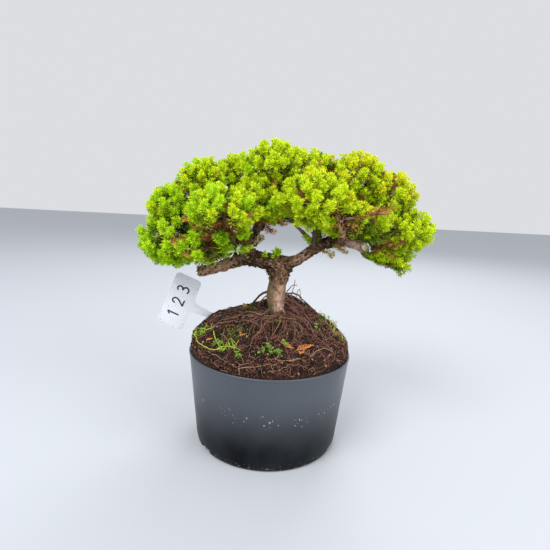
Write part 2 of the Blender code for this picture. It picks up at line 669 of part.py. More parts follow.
class Foliage:
    """Builds each mass of foliage inside its own share of the crown."""

    def __init__(self, skeleton, parts, tools):
        self.skeleton = skeleton
        self.parts = parts
        self.tools = tools

    def depth(self, name, point):
        """How far out a point is in a mass: 0 in its middle, 1 at its outside."""
        mass = MASSES[name]
        return scaled(point - Vector(mass.centre), Vector(mass.radii)).length

    def owns(self, name, point, clearance, margin):
        """Whether a point is in a mass's own space and clear of the limbs."""
        own = self.depth(name, point)
        if own > 1.0:
            return False
        if any(other != name and self.depth(other, point) - own < margin for other in MASSES):
            return False
        return self.skeleton.clear_of(point, clearance)

    def core(self, name, rng):
        """The mass's rough core, held inside its space in every direction."""
        mass = MASSES[name]
        centre, radii = Vector(mass.centre), Vector(mass.radii)
        mesh = bpy.data.meshes.new(name)
        work = bmesh.new()
        bmesh.ops.create_icosphere(work, subdivisions=2, radius=1.0)
        for vertex in work.verts:
            way = vertex.co.normalized()
            rim = 1.0 / scaled(way, radii).length
            wanted = rim * CORE_PART * (1.0 + rng.uniform(-CORE_ROUGH, CORE_ROUGH))
            reach = CORE_START
            while reach < wanted and self.owns(name, centre + way * (reach + CORE_CLEAR), CORE_CLEAR,
                                               CORE_MARGIN):
                reach += CORE_STEP
            vertex.co = (centre + way * reach) * MM
        work.to_mesh(mesh)
        work.free()
        core = new_object(name, mesh, self.parts)
        bpy.context.view_layer.update()
        surface = BVHTree.FromObject(core, bpy.context.evaluated_depsgraph_get())
        for limb, (points, radii) in self.skeleton.routes.items():
            if self.comes_near(surface, *self.skeleton.samples(limb)):
                cutter(tube("grown", points, [radius + CORE_CLEAR / 2 for radius in radii], 1,
                            self.tools), self.tools)
        if len(self.tools.objects):
            boolean(core, "DIFFERENCE", collection=self.tools)
            clear(self.tools)
        return core

    def comes_near(self, surface, points, radii):
        """Whether a limb's route comes close to a surface or through it."""
        for point, radius in zip(points, radii):
            if surface.find_nearest(point * MM)[3] < (radius + CORE_CLEAR / 2) * MM:
                return True
        return False

    def free_path(self, start, end):
        """Whether a straight stretch keeps clear of the limbs."""
        steps = max(2, round((end - start).length / PATH_STEP))
        return all(self.skeleton.clear_of(start.lerp(end, step / steps), LIMB_CLEAR + TWIG_RADIUS)
                   for step in range(steps + 1))

    def spray(self, name, root, tip, spin, size):
        """A spray of needles from root to tip, or nothing where it would leave its space."""
        way = tip - root
        length = way.length
        turn = way.to_track_quat("Z", "Y").to_matrix().to_4x4() @ Matrix.Rotation(spin, 4, "Z")
        place = Matrix.Translation(root) @ turn
        stalk = length * SPRAY_STALK
        work = bmesh.new()
        thick = SPRAY_RADIUS * size
        bmesh.ops.create_cone(work, cap_ends=True, segments=3, radius1=thick * SPRAY_FOOT,
                              radius2=thick, depth=stalk,
                              matrix=Matrix.Translation((0.0, 0.0, stalk / 2)))
        top = max(work.faces, key=lambda face: face.calc_center_median().z)
        bmesh.ops.poke(work, faces=[top])["verts"][0].co.z = length
        spread, along = SPRAY_SPREAD
        for face in [face for face in work.faces if len(face.verts) == 4]:
            middle = face.calc_center_median()
            out = Vector((middle.x, middle.y, 0.0)).normalized()
            needle = bmesh.ops.poke(work, faces=[face])["verts"][0]
            needle.co = out * spread * size + Vector((0.0, 0.0, length * along))
        bmesh.ops.transform(work, matrix=place, verts=work.verts)
        spots = [vertex.co for vertex in work.verts]
        spots += [edge.verts[0].co.lerp(edge.verts[1].co, part) for edge in work.edges
                  for part in SPRAY_EDGE_SPOTS]
        if not all(self.owns(name, spot, LIMB_CLEAR, SPRAY_MARGIN) for spot in spots):
            work.free()
            return None
        bmesh.ops.scale(work, vec=(MM, MM, MM), verts=work.verts)
        mesh = bpy.data.meshes.new("spray")
        work.to_mesh(mesh)
        work.free()
        return new_object("spray", mesh, self.tools)

    def twig(self, start, end, radii):
        """A three-sided tapering twig."""
        way = end - start
        work = bmesh.new()
        turn = way.to_track_quat("Z", "Y").to_matrix().to_4x4()
        bmesh.ops.create_cone(work, cap_ends=True, segments=3, radius1=radii[0], radius2=radii[1],
                              depth=way.length,
                              matrix=Matrix.Translation((start + end) / 2) @ turn)
        bmesh.ops.scale(work, vec=(MM, MM, MM), verts=work.verts)
        mesh = bpy.data.meshes.new("twig")
        work.to_mesh(mesh)
        work.free()
        return new_object("twig", mesh, self.tools)

    def build(self, name, number):
        """One mass: a stem from its bough's tip, twigs from the stem, and sprays on the twigs."""
        mass = MASSES[name]
        rng = random.Random(SEED * 100 + number)
        centre, radii = Vector(mass.centre), Vector(mass.radii)
        body = self.core(name, rng)
        before, tip = self.skeleton.routes[bough_name(name)][0][-2:]
        onward = (tip - before).normalized()
        bend = tip + onward * STEM_STRAIGHT
        self.twig(tip + onward * GAP, bend, (mass.bough[1] * STEM_TAPER, TWIG_RADIUS))
        self.twig(bend - onward, centre, (TWIG_RADIUS, TWIG_RADIUS))
        size = min(1.0, min(radii) / SPRAY_FULL_MASS)
        area = 4.0 * math.pi * ((radii.x * radii.y * radii.z) ** (2.0 / 3.0))
        count = round(area / (SPRAY_PITCH * size) ** 2)
        outward = (centre - Vector(CROWN_HEART)).normalized()
        for index in range(count):
            rise = 1.0 - 2.0 * (index + 0.5) / count
            flat = math.sqrt(1.0 - rise * rise)
            turn = index * GOLDEN + number
            way = Vector((flat * math.cos(turn), flat * math.sin(turn), rise))
            rim = way * (MASS_RIM / scaled(way, radii).length)
            stray = Vector((rng.uniform(-SPRAY_STRAY, SPRAY_STRAY), rng.uniform(-SPRAY_STRAY, SPRAY_STRAY),
                            rng.uniform(0.0, SPRAY_RISE)))
            aim = (way + outward * SPRAY_OUTWARD + stray).normalized()
            spin = rng.uniform(0.0, math.tau)
            length = rng.uniform(*SPRAY_LENGTH) * size
            for part in SPRAY_TRIES:
                spot = centre + rim * part
                root = spot - aim * length
                hub = centre.lerp(root, TWIG_START)
                if self.free_path(hub, spot) and self.spray(name, root, spot, spin, size):
                    thick = TWIG_RADIUS * size
                    self.twig(hub, root + aim * length * TWIG_SUNK, (thick, thick * TWIG_TAPER))
                    break
        bpy.context.view_layer.update()
        boolean(body, "UNION", collection=self.tools)
        clear(self.tools)
        finish(body, "foliage")


def main():
    """Clear the scene and build every piece."""
    for obj in list(bpy.data.objects):
        bpy.data.objects.remove(obj)
    parts = bpy.data.collections.new("juniper_bonsai_in_pot")
    tools = bpy.data.collections.new("cutters")
    bpy.context.scene.collection.children.link(parts)
    bpy.context.scene.collection.children.link(tools)
    build_pot(parts, tools)
    soil = build_soil(parts, build_label(parts))
    skeleton = Skeleton()
    build_trunk(skeleton, parts, tools)
    build_limbs(skeleton, parts, tools)
    build_surface_roots(parts, soil)
    foliage = Foliage(skeleton, parts, tools)
    for number, name in enumerate(MASSES):
        foliage.build(name, number)


main()
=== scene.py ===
"""Surfaces of a juniper bonsai in a round plastic nursery pot.

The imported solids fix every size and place. This script lays the finished surfaces
over them: a moulded pot, a peat mound with its roots and small growth, fissured
bark, and needles in sprays that grow on from the boughs. Sizes are in millimetres
and turned to metres where meshes are made. +Z is up and -Y is the front.
"""
import json
import logging
import math
import random
from collections.abc import Callable
from dataclasses import dataclass, field
from enum import Enum
from functools import lru_cache, partial

import bpy
import numpy as np
from mathutils import Matrix, Vector, noise
from mathutils.kdtree import KDTree

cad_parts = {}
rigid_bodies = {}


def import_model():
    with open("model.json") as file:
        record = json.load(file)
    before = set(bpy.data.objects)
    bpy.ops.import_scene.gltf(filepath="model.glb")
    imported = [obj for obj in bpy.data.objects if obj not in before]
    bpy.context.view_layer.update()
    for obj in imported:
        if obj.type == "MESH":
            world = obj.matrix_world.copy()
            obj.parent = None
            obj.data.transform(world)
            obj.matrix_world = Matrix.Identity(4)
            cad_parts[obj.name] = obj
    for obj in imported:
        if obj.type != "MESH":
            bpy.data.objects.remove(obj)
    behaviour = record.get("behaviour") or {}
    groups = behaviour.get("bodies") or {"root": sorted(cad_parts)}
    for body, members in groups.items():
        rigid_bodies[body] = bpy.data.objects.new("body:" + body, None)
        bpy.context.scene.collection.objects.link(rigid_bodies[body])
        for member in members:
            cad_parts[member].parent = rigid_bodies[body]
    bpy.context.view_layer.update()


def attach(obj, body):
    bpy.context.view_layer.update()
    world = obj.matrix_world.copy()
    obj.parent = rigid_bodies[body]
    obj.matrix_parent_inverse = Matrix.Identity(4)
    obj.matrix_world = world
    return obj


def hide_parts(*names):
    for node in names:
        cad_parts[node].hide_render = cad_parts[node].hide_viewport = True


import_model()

LOG = logging.getLogger("bonsai")
MM = 0.001
BODY = "root"
SEED = 41
PIECE_TRIANGLES = 190_000
GOLDEN = math.pi * (3.0 - math.sqrt(5.0))
UP = Vector((0.0, 0.0, 1.0))
# Points and faces; a place or direction; a place on the ground; and a number at each end.
Shape = tuple[np.ndarray, np.ndarray]
Spot = tuple[float, float, float]
Plan = tuple[float, float]
Span = tuple[float, float]


# ---------------------------------------------------------------- small tools


def linear(code: str) -> tuple[float, float, float, float]:
    """Turn an sRGB hex colour to linear light.

    Args:
        code: the colour as "#RRGGBB".

    Returns:
        Red, green, blue and alpha.
    """
    levels = [int(code[place:place + 2], 16) / 255.0 for place in (1, 3, 5)]
    light = [level / 12.92 if level <= 0.04045 else ((level + 0.055) / 1.055) ** 2.4
             for level in levels]
    return (light[0], light[1], light[2], 1.0)


def per_mm(size: float) -> float:
    """The texture scale, in metres, of a pattern whose features are size mm wide."""
    return 1.0 / (size * MM)


def feed(tree: bpy.types.NodeTree, node: bpy.types.Node, inputs: dict) -> None:
    """Set or link a node's inputs.

    Args:
        tree: the node tree.
        node: the node.
        inputs: by name or number, a socket to link or a value to set.
    """
    for name, value in inputs.items():
        if isinstance(value, bpy.types.NodeSocket):
            tree.links.new(value, node.inputs[name])
        else:
            node.inputs[name].default_value = value


def add_node(tree: bpy.types.NodeTree, kind: str, inputs: dict | None = None, out: int | str = 0,
             **settings: object) -> bpy.types.NodeSocket:
    """Add a node with its settings, values and links.

    Args:
        tree: the node tree.
        kind: the node's type name, without "ShaderNode".
        inputs: a socket to link or a value to set, by input name or number.
        out: the output that is wanted, by name or number.
        settings: the node's own properties.

    Returns:
        The output.
    """
    node = tree.nodes.new("ShaderNode" + kind)
    for name, value in settings.items():
        setattr(node, name, value)
    feed(tree, node, inputs or {})
    return node.outputs[out]


def smooth_step(value: float, low: float, high: float) -> float:
    """0 below low, 1 above high, and a smooth rise between."""
    part = min(max((value - low) / (high - low), 0.0), 1.0)
    return part * part * (3.0 - 2.0 * part)


def mesh_of(name: str, points: np.ndarray, faces: np.ndarray) -> bpy.types.Mesh:
    """Make a mesh of points in millimetres and faces that have all the same number of sides.

    Args:
        name: the mesh's name.
        points: n by 3.
        faces: m by 3 or m by 4.

    Returns:
        The mesh, in metres.
    """
    mesh = bpy.data.meshes.new(name)
    mesh.vertices.add(len(points))
    mesh.vertices.foreach_set("co", np.ascontiguousarray(points * MM, dtype=np.float32).ravel())
    mesh.loops.add(faces.size)
    mesh.loops.foreach_set("vertex_index", np.ascontiguousarray(faces, dtype=np.int32).ravel())
    mesh.polygons.add(len(faces))
    starts = np.arange(0, faces.size, faces.shape[1], dtype=np.int32)
    mesh.polygons.foreach_set("loop_start", starts)
    mesh.update(calc_edges=True)
    return mesh


def place_piece(name: str, mesh: bpy.types.Mesh, finish: "Finish",
                nodes: tuple[str, ...] = ()) -> bpy.types.Object:
    """Put a mesh in the scene as a piece of the object.

    Args:
        name: the piece's name.
        mesh: its mesh, in metres.
        finish: its surface finish.
        nodes: the solids that it stands for.

    Returns:
        The new object.
    """
    mesh.materials.clear()
    mesh.materials.append(finish.material())
    piece = bpy.data.objects.new(name, mesh)
    bpy.context.scene.collection.objects.link(piece)
    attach(piece, BODY)
    if nodes:
        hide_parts(*nodes)
    LOG.info("%s: %d faces", name, len(mesh.polygons))
    return piece


@lru_cache(maxsize=None)
def tube_faces(count: int, sides: int) -> np.ndarray:
    """The faces of a capped tube, whose two end points come last.

    Args:
        count: how many rings it has.
        sides: how many sides it has.

    Returns:
        Its triangles.
    """
    faces = []
    for ring in range(count - 1):
        for side in range(sides):
            here, after = ring * sides + side, ring * sides + (side + 1) % sides
            faces += [(here, after, after + sides), (here, after + sides, here + sides)]
    first, last = count * sides, count * sides + 1
    for side in range(sides):
        after = (side + 1) % sides
        top = (count - 1) * sides
        faces += [(first, after, side), (last, top + side, top + after)]
    return np.array(faces, dtype=np.int32)


def tube(path: list, radii: list, sides: int) -> Shape:
    """A tapering tube with closed ends.

    Args:
        path: its middle line.
        radii: its radius at each point of the path.
        sides: how many sides it has.

    Returns:
        Its points and triangles.
    """
    line = np.array([tuple(point) for point in path], dtype=float)
    ways = np.gradient(line, axis=0)
    ways /= np.linalg.norm(ways, axis=1, keepdims=True)
    side = np.cross(ways[0], (0.31, 0.52, 0.79))
    turns = np.arange(sides) * (math.tau / sides)
    rings = []
    for way, point, radius in zip(ways, line, radii):
        side = side - way * side.dot(way)
        side /= np.linalg.norm(side)
        other = np.cross(way, side)
        ring = np.cos(turns)[:, None] * side + np.sin(turns)[:, None] * other
        rings.append(point + radius * ring)
    return np.vstack([*rings, line[0], line[-1]]), tube_faces(len(line), sides)


def rounded(line: list, steps: int) -> list:
    """A smooth line through points.

    Args:
        line: the points, as vectors or arrays.
        steps: how many points each stretch gets.

    Returns:
        The finer line.
    """
    ends = [line[0], *line, line[-1]]
    out = []
    for a, b, c, d in zip(ends, ends[1:], ends[2:], ends[3:]):
        for step in range(steps):
            t = step / steps
            out.append(0.5 * (2 * b + (c - a) * t + (2 * a - 5 * b + 4 * c - d) * t * t
                              + (3 * b - a - 3 * c + d) * t ** 3))
    return out + [line[-1]]


def bowed(start: Vector, control: Vector, end: Vector, t: float) -> Vector:
    """The point at a part t of a curve that bows from start to end towards its control point."""
    return start * (1 - t) ** 2 + control * 2 * t * (1 - t) + end * t * t


def finished_mesh(thing: bpy.types.Object) -> bpy.types.Mesh:
    """The mesh of an object with its modifiers carried out.

    Args:
        thing: the object.

    Returns:
        A mesh of its own.
    """
    bpy.context.view_layer.update()
    graph = bpy.context.evaluated_depsgraph_get()
    return bpy.data.meshes.new_from_object(thing.evaluated_get(graph))


def stamp(points: np.ndarray, faces: np.ndarray, roots: np.ndarray, ways: np.ndarray,
          spins: np.ndarray, sizes: np.ndarray, bends: np.ndarray | None = None) -> Shape:
    """Copy one small shape to many places.

    Args:
        points: the shape's points, growing along +Z from the origin.
        faces: its triangles.
        roots: where each copy's origin goes.
        ways: where each copy's +Z points.
        spins: the turn of each copy about its way, in radians.
        sizes: the scale of each copy.
        bends: how far the top of each copy is pushed sideways.

    Returns:
        The points and triangles of all copies.
    """
    lean = np.where(np.abs(ways[:, 2:3]) > 0.9, (1.0, 0.0, 0.0), (0.0, 0.0, 1.0))
    side = np.cross(ways, lean)
    side /= np.linalg.norm(side, axis=1, keepdims=True)
    other = np.cross(ways, side)
    across = np.cos(spins)[:, None] * side + np.sin(spins)[:, None] * other
    along = np.cross(ways, across)
    frames = np.stack([across, along, ways], axis=1) * sizes[:, None, None]
    placed = np.einsum("pk,skc->spc", points, frames) + roots[:, None, :]
    if bends is not None:
        part = (points[:, 2] / points[:, 2].max()) ** 2
        placed += part[None, :, None] * bends[:, None, :]
    shift = np.arange(len(roots), dtype=np.int32)[:, None, None] * len(points)
    return placed.reshape(-1, 3), (faces[None] + shift).reshape(-1, faces.shape[1])


class Heap:
    """Points and triangles of one kind of piece, gathered in millimetres."""

    def __init__(self) -> None:
        """Start empty."""
        self.chunks: list[tuple[np.ndarray, np.ndarray, str]] = []

    def add(self, shape: Shape, node: str = "") -> None:
        """Add a shape, and name the solid that it helps to stand for."""
        self.chunks.append((*shape, node))

    def place(self, name: str, finish: "Finish", slot: str) -> None:
        """Join everything into as few pieces as their size allows.

        Args:
            name: the pieces' name, numbered where there are several.
            finish: their finish.
            slot: not used.
        """
        batches, size = [[]], 0
        for chunk in self.chunks:
            if size + len(chunk[1]) > PIECE_TRIANGLES and batches[-1]:
                batches.append([])
                size = 0
            batches[-1].append(chunk)
            size += len(chunk[1])
        for number, batch in enumerate(batches):
            if not batch:
                continue
            starts = np.cumsum([0] + [len(points) for points, _, _ in batch])
            points = np.vstack([points for points, _, _ in batch])
            faces = np.vstack([faces + start for (_, faces, _), start in zip(batch, starts)])
            title = name if len(batches) == 1 else f"{name}_{number + 1}"
            nodes = tuple(sorted({node for _, _, node in batch if node}))
            place_piece(title, mesh_of(title, points, faces), finish, nodes)


def place_heaps(heaps: dict["Finish", Heap], title: str, slot: str) -> None:
    """Place the pieces of several finishes.

    Args:
        heaps: what is gathered in each finish.
        title: the pieces' name, with braces for the finish's name.
        slot: passed on to each heap, which doesn't use it.
    """
    for finish, heap in heaps.items():
        heap.place(title.format(finish.name), finish, slot)


# ------------------------------------------------------------------- finishes
#
# Pattern sizes are real ones in millimetres, unless a comment says that one is drawn coarser.
# In a colour mix input 0 is the share, 6 and 7 are the colours, and output 2 is the result.


@dataclass(frozen=True)
class Finish:
    """A surface: what it is made of, its main colour and how it reflects."""

    name: str
    colour: str
    roughness: float
    ior: float = 1.5

    def material(self) -> bpy.types.Material:
        """The finish as a material, made once.

        Returns:
            The material.
        """
        found = bpy.data.materials.get(self.name)
        if found:
            return found
        made = bpy.data.materials.new(self.name)
        made.use_nodes = True
        tree = made.node_tree
        plain = {"Base Color": linear(self.colour), "Roughness": self.roughness, "IOR": self.ior}
        feed(tree, tree.nodes["Principled BSDF"], plain | self.pattern(partial(add_node, tree)))
        return made

    def pattern(self, add: Callable) -> dict:
        """What the surface's pattern feeds to its shader, by input; a plain finish has none."""
        return {}


@dataclass(frozen=True)
class MouldedPolypropylene(Finish):
    """Black recycled polypropylene, injection moulded.

    It gives the eye an even soft sheen without grain, and a band of dried drops that
    watering has thrown up. Its grey is painted darker towards the foot, nearly black
    there: painted shade and a painted dark reflection.
    """

    splash: str = "#B5A88A"
    dust: str = "#5C6066"
    # the plastic near the foot, painted nearly black as shade and a dark reflection
    shaded: str = "#02060C"
    shade_heights: Span = (14.0, 86.0)  # the heights over which the painted shade at the foot gives way to the plain grey
    gloss: Span = (0.12, 0.5)  # its mirror light, at those heights
    cloud_size: float = 38.0
    splash_size: float = 2.8
    clump_size: float = 16.0
    splash_line: Span = (57.0, 10.0)  # the band's height, and half its width
    foot: Span = (9.0, 1.0)  # soil is rubbed on from here downwards
    scuff_size: float = 2.6
    grain_size: float = 0.9  # coarser than the mould's own grain, so that it shows

    def pattern(self, add: Callable) -> dict:
        """Bleach and dust the plastic, and put splashes and rubbed soil on it.

        Args:
            add: add_node for the material's tree.

        Returns:
            The shader's inputs.
        """
        place = add("TexCoord", out="Object")
        cloud = add("TexNoise", {"Vector": place, "Scale": per_mm(self.cloud_size), "Detail": 4.0})
        shade = add("MapRange", {"Value": cloud, "From Min": 0.35, "From Max": 0.75,
                                 "To Max": 0.14})
        height = add("SeparateXYZ", {0: place}, 2)
        # Painted shade and dark reflection: from the foot up to the rim the colour goes from the
        # shaded one to the plain grey, and the mirror light rises with it.
        dark, light = (edge * MM for edge in self.shade_heights)
        sun = add("MapRange", {"Value": height, "From Min": dark, "From Max": light},
                  interpolation_type="SMOOTHSTEP")
        grey = add("Mix", {0: sun, 6: linear(self.shaded), 7: linear(self.colour)}, 2,
                   data_type="RGBA")
        dusty = add("Mix", {0: shade, 6: grey, 7: linear(self.dust)}, 2, data_type="RGBA")
        spots = add("TexNoise", {"Vector": place, "Scale": per_mm(self.splash_size), "Detail": 5.0,
                                 "Roughness": 0.6})
        spatter = add("MapRange", {"Value": spots, "From Min": 0.61, "From Max": 0.66})
        clumps = add("TexNoise", {"Vector": place, "Scale": per_mm(self.clump_size),
                                  "Detail": 2.0})
        gate = add("MapRange", {"Value": clumps, "From Min": 0.48, "From Max": 0.56})
        middle, half = self.splash_line
        off = add("Math", {0: height, 1: middle * MM}, operation="SUBTRACT")
        off = add("Math", {0: off}, operation="ABSOLUTE")
        band = add("MapRange", {"Value": off, "From Min": half * MM, "From Max": half * 0.4 * MM})
        where = add("Math", {0: gate, 1: band}, operation="MULTIPLY")
        splash = add("Math", {0: spatter, 1: where}, operation="MULTIPLY")
        high, low = self.foot
        foot = add("MapRange", {"Value": height, "From Min": high * MM, "From Max": low * MM})
        scuff = add("TexNoise", {"Vector": place, "Scale": per_mm(self.scuff_size), "Detail": 6.0})
        rubbed = add("MapRange", {"Value": scuff, "From Min": 0.55, "From Max": 0.85})
        soiled = add("Math", {0: rubbed, 1: foot}, operation="MULTIPLY")
        dirt = add("Math", {0: soiled, 1: splash}, operation="MAXIMUM")
        colour = add("Mix", {0: dirt, 6: dusty, 7: linear(self.splash)}, 2, data_type="RGBA")
        rough = add("MapRange", {"Value": cloud, "From Min": 0.3, "From Max": 0.7,
                                 "To Min": self.roughness - 0.05, "To Max": self.roughness + 0.1})
        gloss = add("MapRange", {"Value": sun, "To Min": self.gloss[0], "To Max": self.gloss[1]})
        grain = add("TexNoise", {"Vector": place, "Scale": per_mm(self.grain_size), "Detail": 2.0})
        relief = add("Bump", {"Height": grain, "Strength": 0.12, "Distance": 0.1 * MM})
        return {"Base Color": colour, "Roughness": rough, "Specular IOR Level": gloss,
                "Normal": relief}


@dataclass(frozen=True)
class LabelSheet(Finish):
    """White polystyrene sheet, die cut.

    It gives the eye a smooth cool white with hardly any shine, softly greyed by
    handling, and a few specks of soil.
    """

    grey: str = "#C9CDD2"
    soil: str = "#6B5C4A"
    cloud_size: float = 24.0
    speck_size: float = 1.6

    def pattern(self, add: Callable) -> dict:
        """Grey the sheet softly and add a few specks.

        Args:
            add: add_node for the material's tree.

        Returns:
            The shader's inputs.
        """
        place = add("TexCoord", out="Object")
        cloud = add("TexNoise", {"Vector": place, "Scale": per_mm(self.cloud_size), "Detail": 3.0})
        soft = add("MapRange", {"Value": cloud, "From Min": 0.4, "From Max": 0.8, "To Max": 0.45})
        sheet = add("Mix", {0: soft, 6: linear(self.colour), 7: linear(self.grey)}, 2,
                    data_type="RGBA")
        speck = add("TexNoise", {"Vector": place, "Scale": per_mm(self.speck_size), "Detail": 1.0})
        sparse = add("MapRange", {"Value": speck, "From Min": 0.71, "From Max": 0.76})
        colour = add("Mix", {0: sparse, 6: sheet, 7: linear(self.soil)}, 2, data_type="RGBA")
        relief = add("Bump", {"Height": cloud, "Strength": 0.1, "Distance": 0.2 * MM})
        return {"Base Color": colour, "Normal": relief}


@dataclass(frozen=True)
class Peat(Finish):
    """Moist peat compost, loose and fibrous.

    It gives the eye a dull, nearly black ground broken by brown crumbs, darker
    where it is damp.
    """

    crumb: str = "#56392C"
    wet: str = "#0B0604"
    crumb_size: float = 2.0
    patch_size: float = 14.0

    def pattern(self, add: Callable) -> dict:
        """Mix crumbs of three browns over a rough relief.

        Args:
            add: add_node for the material's tree.

        Returns:
            The shader's inputs.
        """
        place = add("TexCoord", out="Object")
        coarse = add("TexNoise", {"Vector": place, "Scale": per_mm(self.crumb_size), "Detail": 6.0,
                                  "Roughness": 0.7})
        brown = add("MapRange", {"Value": coarse, "From Min": 0.44, "From Max": 0.62})
        lit = add("Mix", {0: brown, 6: linear(self.colour), 7: linear(self.crumb)}, 2,
                  data_type="RGBA")
        patch = add("TexNoise", {"Vector": place, "Scale": per_mm(self.patch_size), "Detail": 3.0})
        damp = add("MapRange", {"Value": patch, "From Min": 0.42, "From Max": 0.62, "To Max": 0.8})
        colour = add("Mix", {0: damp, 6: lit, 7: linear(self.wet)}, 2, data_type="RGBA")
        relief = add("Bump", {"Height": coarse, "Strength": 0.8, "Distance": 0.8 * MM})
        return {"Base Color": colour, "Normal": relief}


@dataclass(frozen=True)
class Bark(Finish):
    """Juniper bark, grown and weathered.

    It gives the eye dull brown flakes over dark fissures that run along the wood,
    and a smooth, pale, faintly pink skin where the flakes have peeled. The dark, scar
    and olive places are painted shade. Each place is a middle, a radius and a strength.
    """

    dark: str = "#1A110A"
    red: str = "#6B4630"
    pale: str = "#967458"
    worn: str = "#C6A494"
    shadow: str = "#2C1E13"
    # An olive tint for painted shade on the trunk's sides, greened like algae.
    olive_shade: str = "#5E5636"
    flake: float = 2.6
    streak: float = 0.3  # how far the streaks are drawn out upwards
    streak_size: float = 1.7
    patch_size: float = 7.0
    mottle: float = 3.0
    pale_places: tuple = ()
    worn_places: tuple = ()
    dark_places: tuple = ()
    olive_shade_places: tuple = ()
    scar_shadow_places: tuple = ()

    def pattern(self, add: Callable) -> dict:
        """Lay streaked flakes, red patches, and the pale and worn places over each other.

        Args:
            add: add_node for the material's tree.

        Returns:
            The shader's inputs.
        """
        place = add("TexCoord", out="Object")
        upright = add("Mapping", {"Vector": place, "Scale": (1.0, 1.0, self.streak)})
        streaks = add("TexNoise", {"Vector": upright, "Scale": per_mm(self.streak_size),
                                   "Detail": 5.0, "Roughness": 0.7})
        flakes = add("TexNoise", {"Vector": place, "Scale": per_mm(self.flake), "Detail": 6.0,
                                  "Roughness": 0.7, "Distortion": 0.4})
        lit = add("MapRange", {"Value": flakes, "From Min": 0.38, "From Max": 0.58})
        body = add("Mix", {0: lit, 6: linear(self.dark), 7: linear(self.colour)}, 2,
                   data_type="RGBA")
        patches = add("TexNoise", {"Vector": place, "Scale": per_mm(self.patch_size),
                                   "Detail": 3.0})
        redder = add("MapRange", {"Value": patches, "From Min": 0.5, "From Max": 0.7,
                                  "To Max": 0.55})
        colour = add("Mix", {0: redder, 6: body, 7: linear(self.red)}, 2, data_type="RGBA")
        for places, tint, low in (
                (self.pale_places, self.pale, 0.26), (self.olive_shade_places, self.olive_shade, 0.3),
                (self.worn_places, self.worn, 0.4), (self.dark_places, self.shadow, 0.38),
                (self.scar_shadow_places, self.shadow, 0.3)):
            for centre, radius, strength in places:
                spot = tuple(value * MM for value in centre)
                away = add("VectorMath", {0: place, 1: spot}, "Value", operation="DISTANCE")
                near = add("MapRange", {"Value": away, "From Min": radius * MM,
                                        "From Max": radius * MM * 0.4, "To Max": strength})
                torn = add("MapRange", {"Value": streaks, "From Min": low, "From Max": low + 0.2})
                mask = add("Math", {0: near, 1: torn}, operation="MULTIPLY")
                colour = add("Mix", {0: mask, 6: colour, 7: linear(tint)}, 2, data_type="RGBA")
        fine = add("TexNoise", {"Vector": place, "Scale": per_mm(self.mottle), "Detail": 6.0,
                                "Roughness": 0.75})
        spread = add("MapRange", {"Value": fine, "From Min": 0.36, "From Max": 0.62,
                                  "To Min": 0.62, "To Max": 1.22})
        mottled = add("Mix", {0: 1.0, 6: colour, 7: spread}, 2, data_type="RGBA",
                      blend_type="MULTIPLY")
        relief = add("Bump", {"Height": flakes, "Strength": 0.7, "Distance": 0.5 * MM})
        return {"Base Color": mottled, "Normal": relief}


@dataclass(frozen=True)
class CutWood(Finish):
    """The sawn end of a bough, dried.

    It gives the eye bare matt wood, paler than the bark, with soft rings.
    """

    centre: Spot = (0.0, 0.0, 0.0)
    ring: str = "#7C5A3C"
    ring_width: float = 1.3

    def pattern(self, add: Callable) -> dict:
        """Draw growth rings round the bough's middle.

        Args:
            add: add_node for the material's tree.

        Returns:
            The shader's inputs.
        """
        place = add("TexCoord", out="Object")
        spot = tuple(value * MM for value in self.centre)
        away = add("VectorMath", {0: place, 1: spot}, "Value", operation="DISTANCE")
        turns = add("Math", {0: away, 1: math.tau * per_mm(self.ring_width)}, operation="MULTIPLY")
        wave = add("Math", {0: turns}, operation="SINE")
        rings = add("MapRange", {"Value": wave, "From Min": -1.0, "To Max": 0.6})
        colour = add("Mix", {0: rings, 6: linear(self.colour), 7: linear(self.ring)}, 2,
                     data_type="RGBA")
        relief = add("Bump", {"Height": wave, "Strength": 0.3, "Distance": 0.2 * MM})
        return {"Base Color": colour, "Normal": relief}


@dataclass(frozen=True)
class Growth(Finish):
    """Living or dry plant tissue, grown.

    It gives the eye one plain colour with a faint waxy light: a plant's colours
    lie side by side, spray by spray, and each spray has its own.
    """

    gloss: float = 0.3
    grain_size: float = 1.5

    def pattern(self, add: Callable) -> dict:
        """Give the skin its waxy light and a fine relief.

        Args:
            add: add_node for the material's tree.

        Returns:
            The shader's inputs.
        """
        place = add("TexCoord", out="Object")
        skin = add("TexNoise", {"Vector": place, "Scale": per_mm(self.grain_size), "Detail": 2.0})
        relief = add("Bump", {"Height": skin, "Strength": 0.2, "Distance": 0.1 * MM})
        return {"Specular IOR Level": self.gloss, "Normal": relief}


POT_PLASTIC = MouldedPolypropylene("polypropylene_moulded", "#464C54", 0.34, 1.49)
LABEL_SHEET = LabelSheet("polystyrene_label_sheet", "#DEE2E7", 0.4, 1.55)
# Marker ink, drawn on: a flat blue-black line with soft ends.
LABEL_INK = Finish("marker_ink", "#1D2233", 0.5)
PEAT = Peat("peat_compost", "#180E09", 1.0, 1.35)
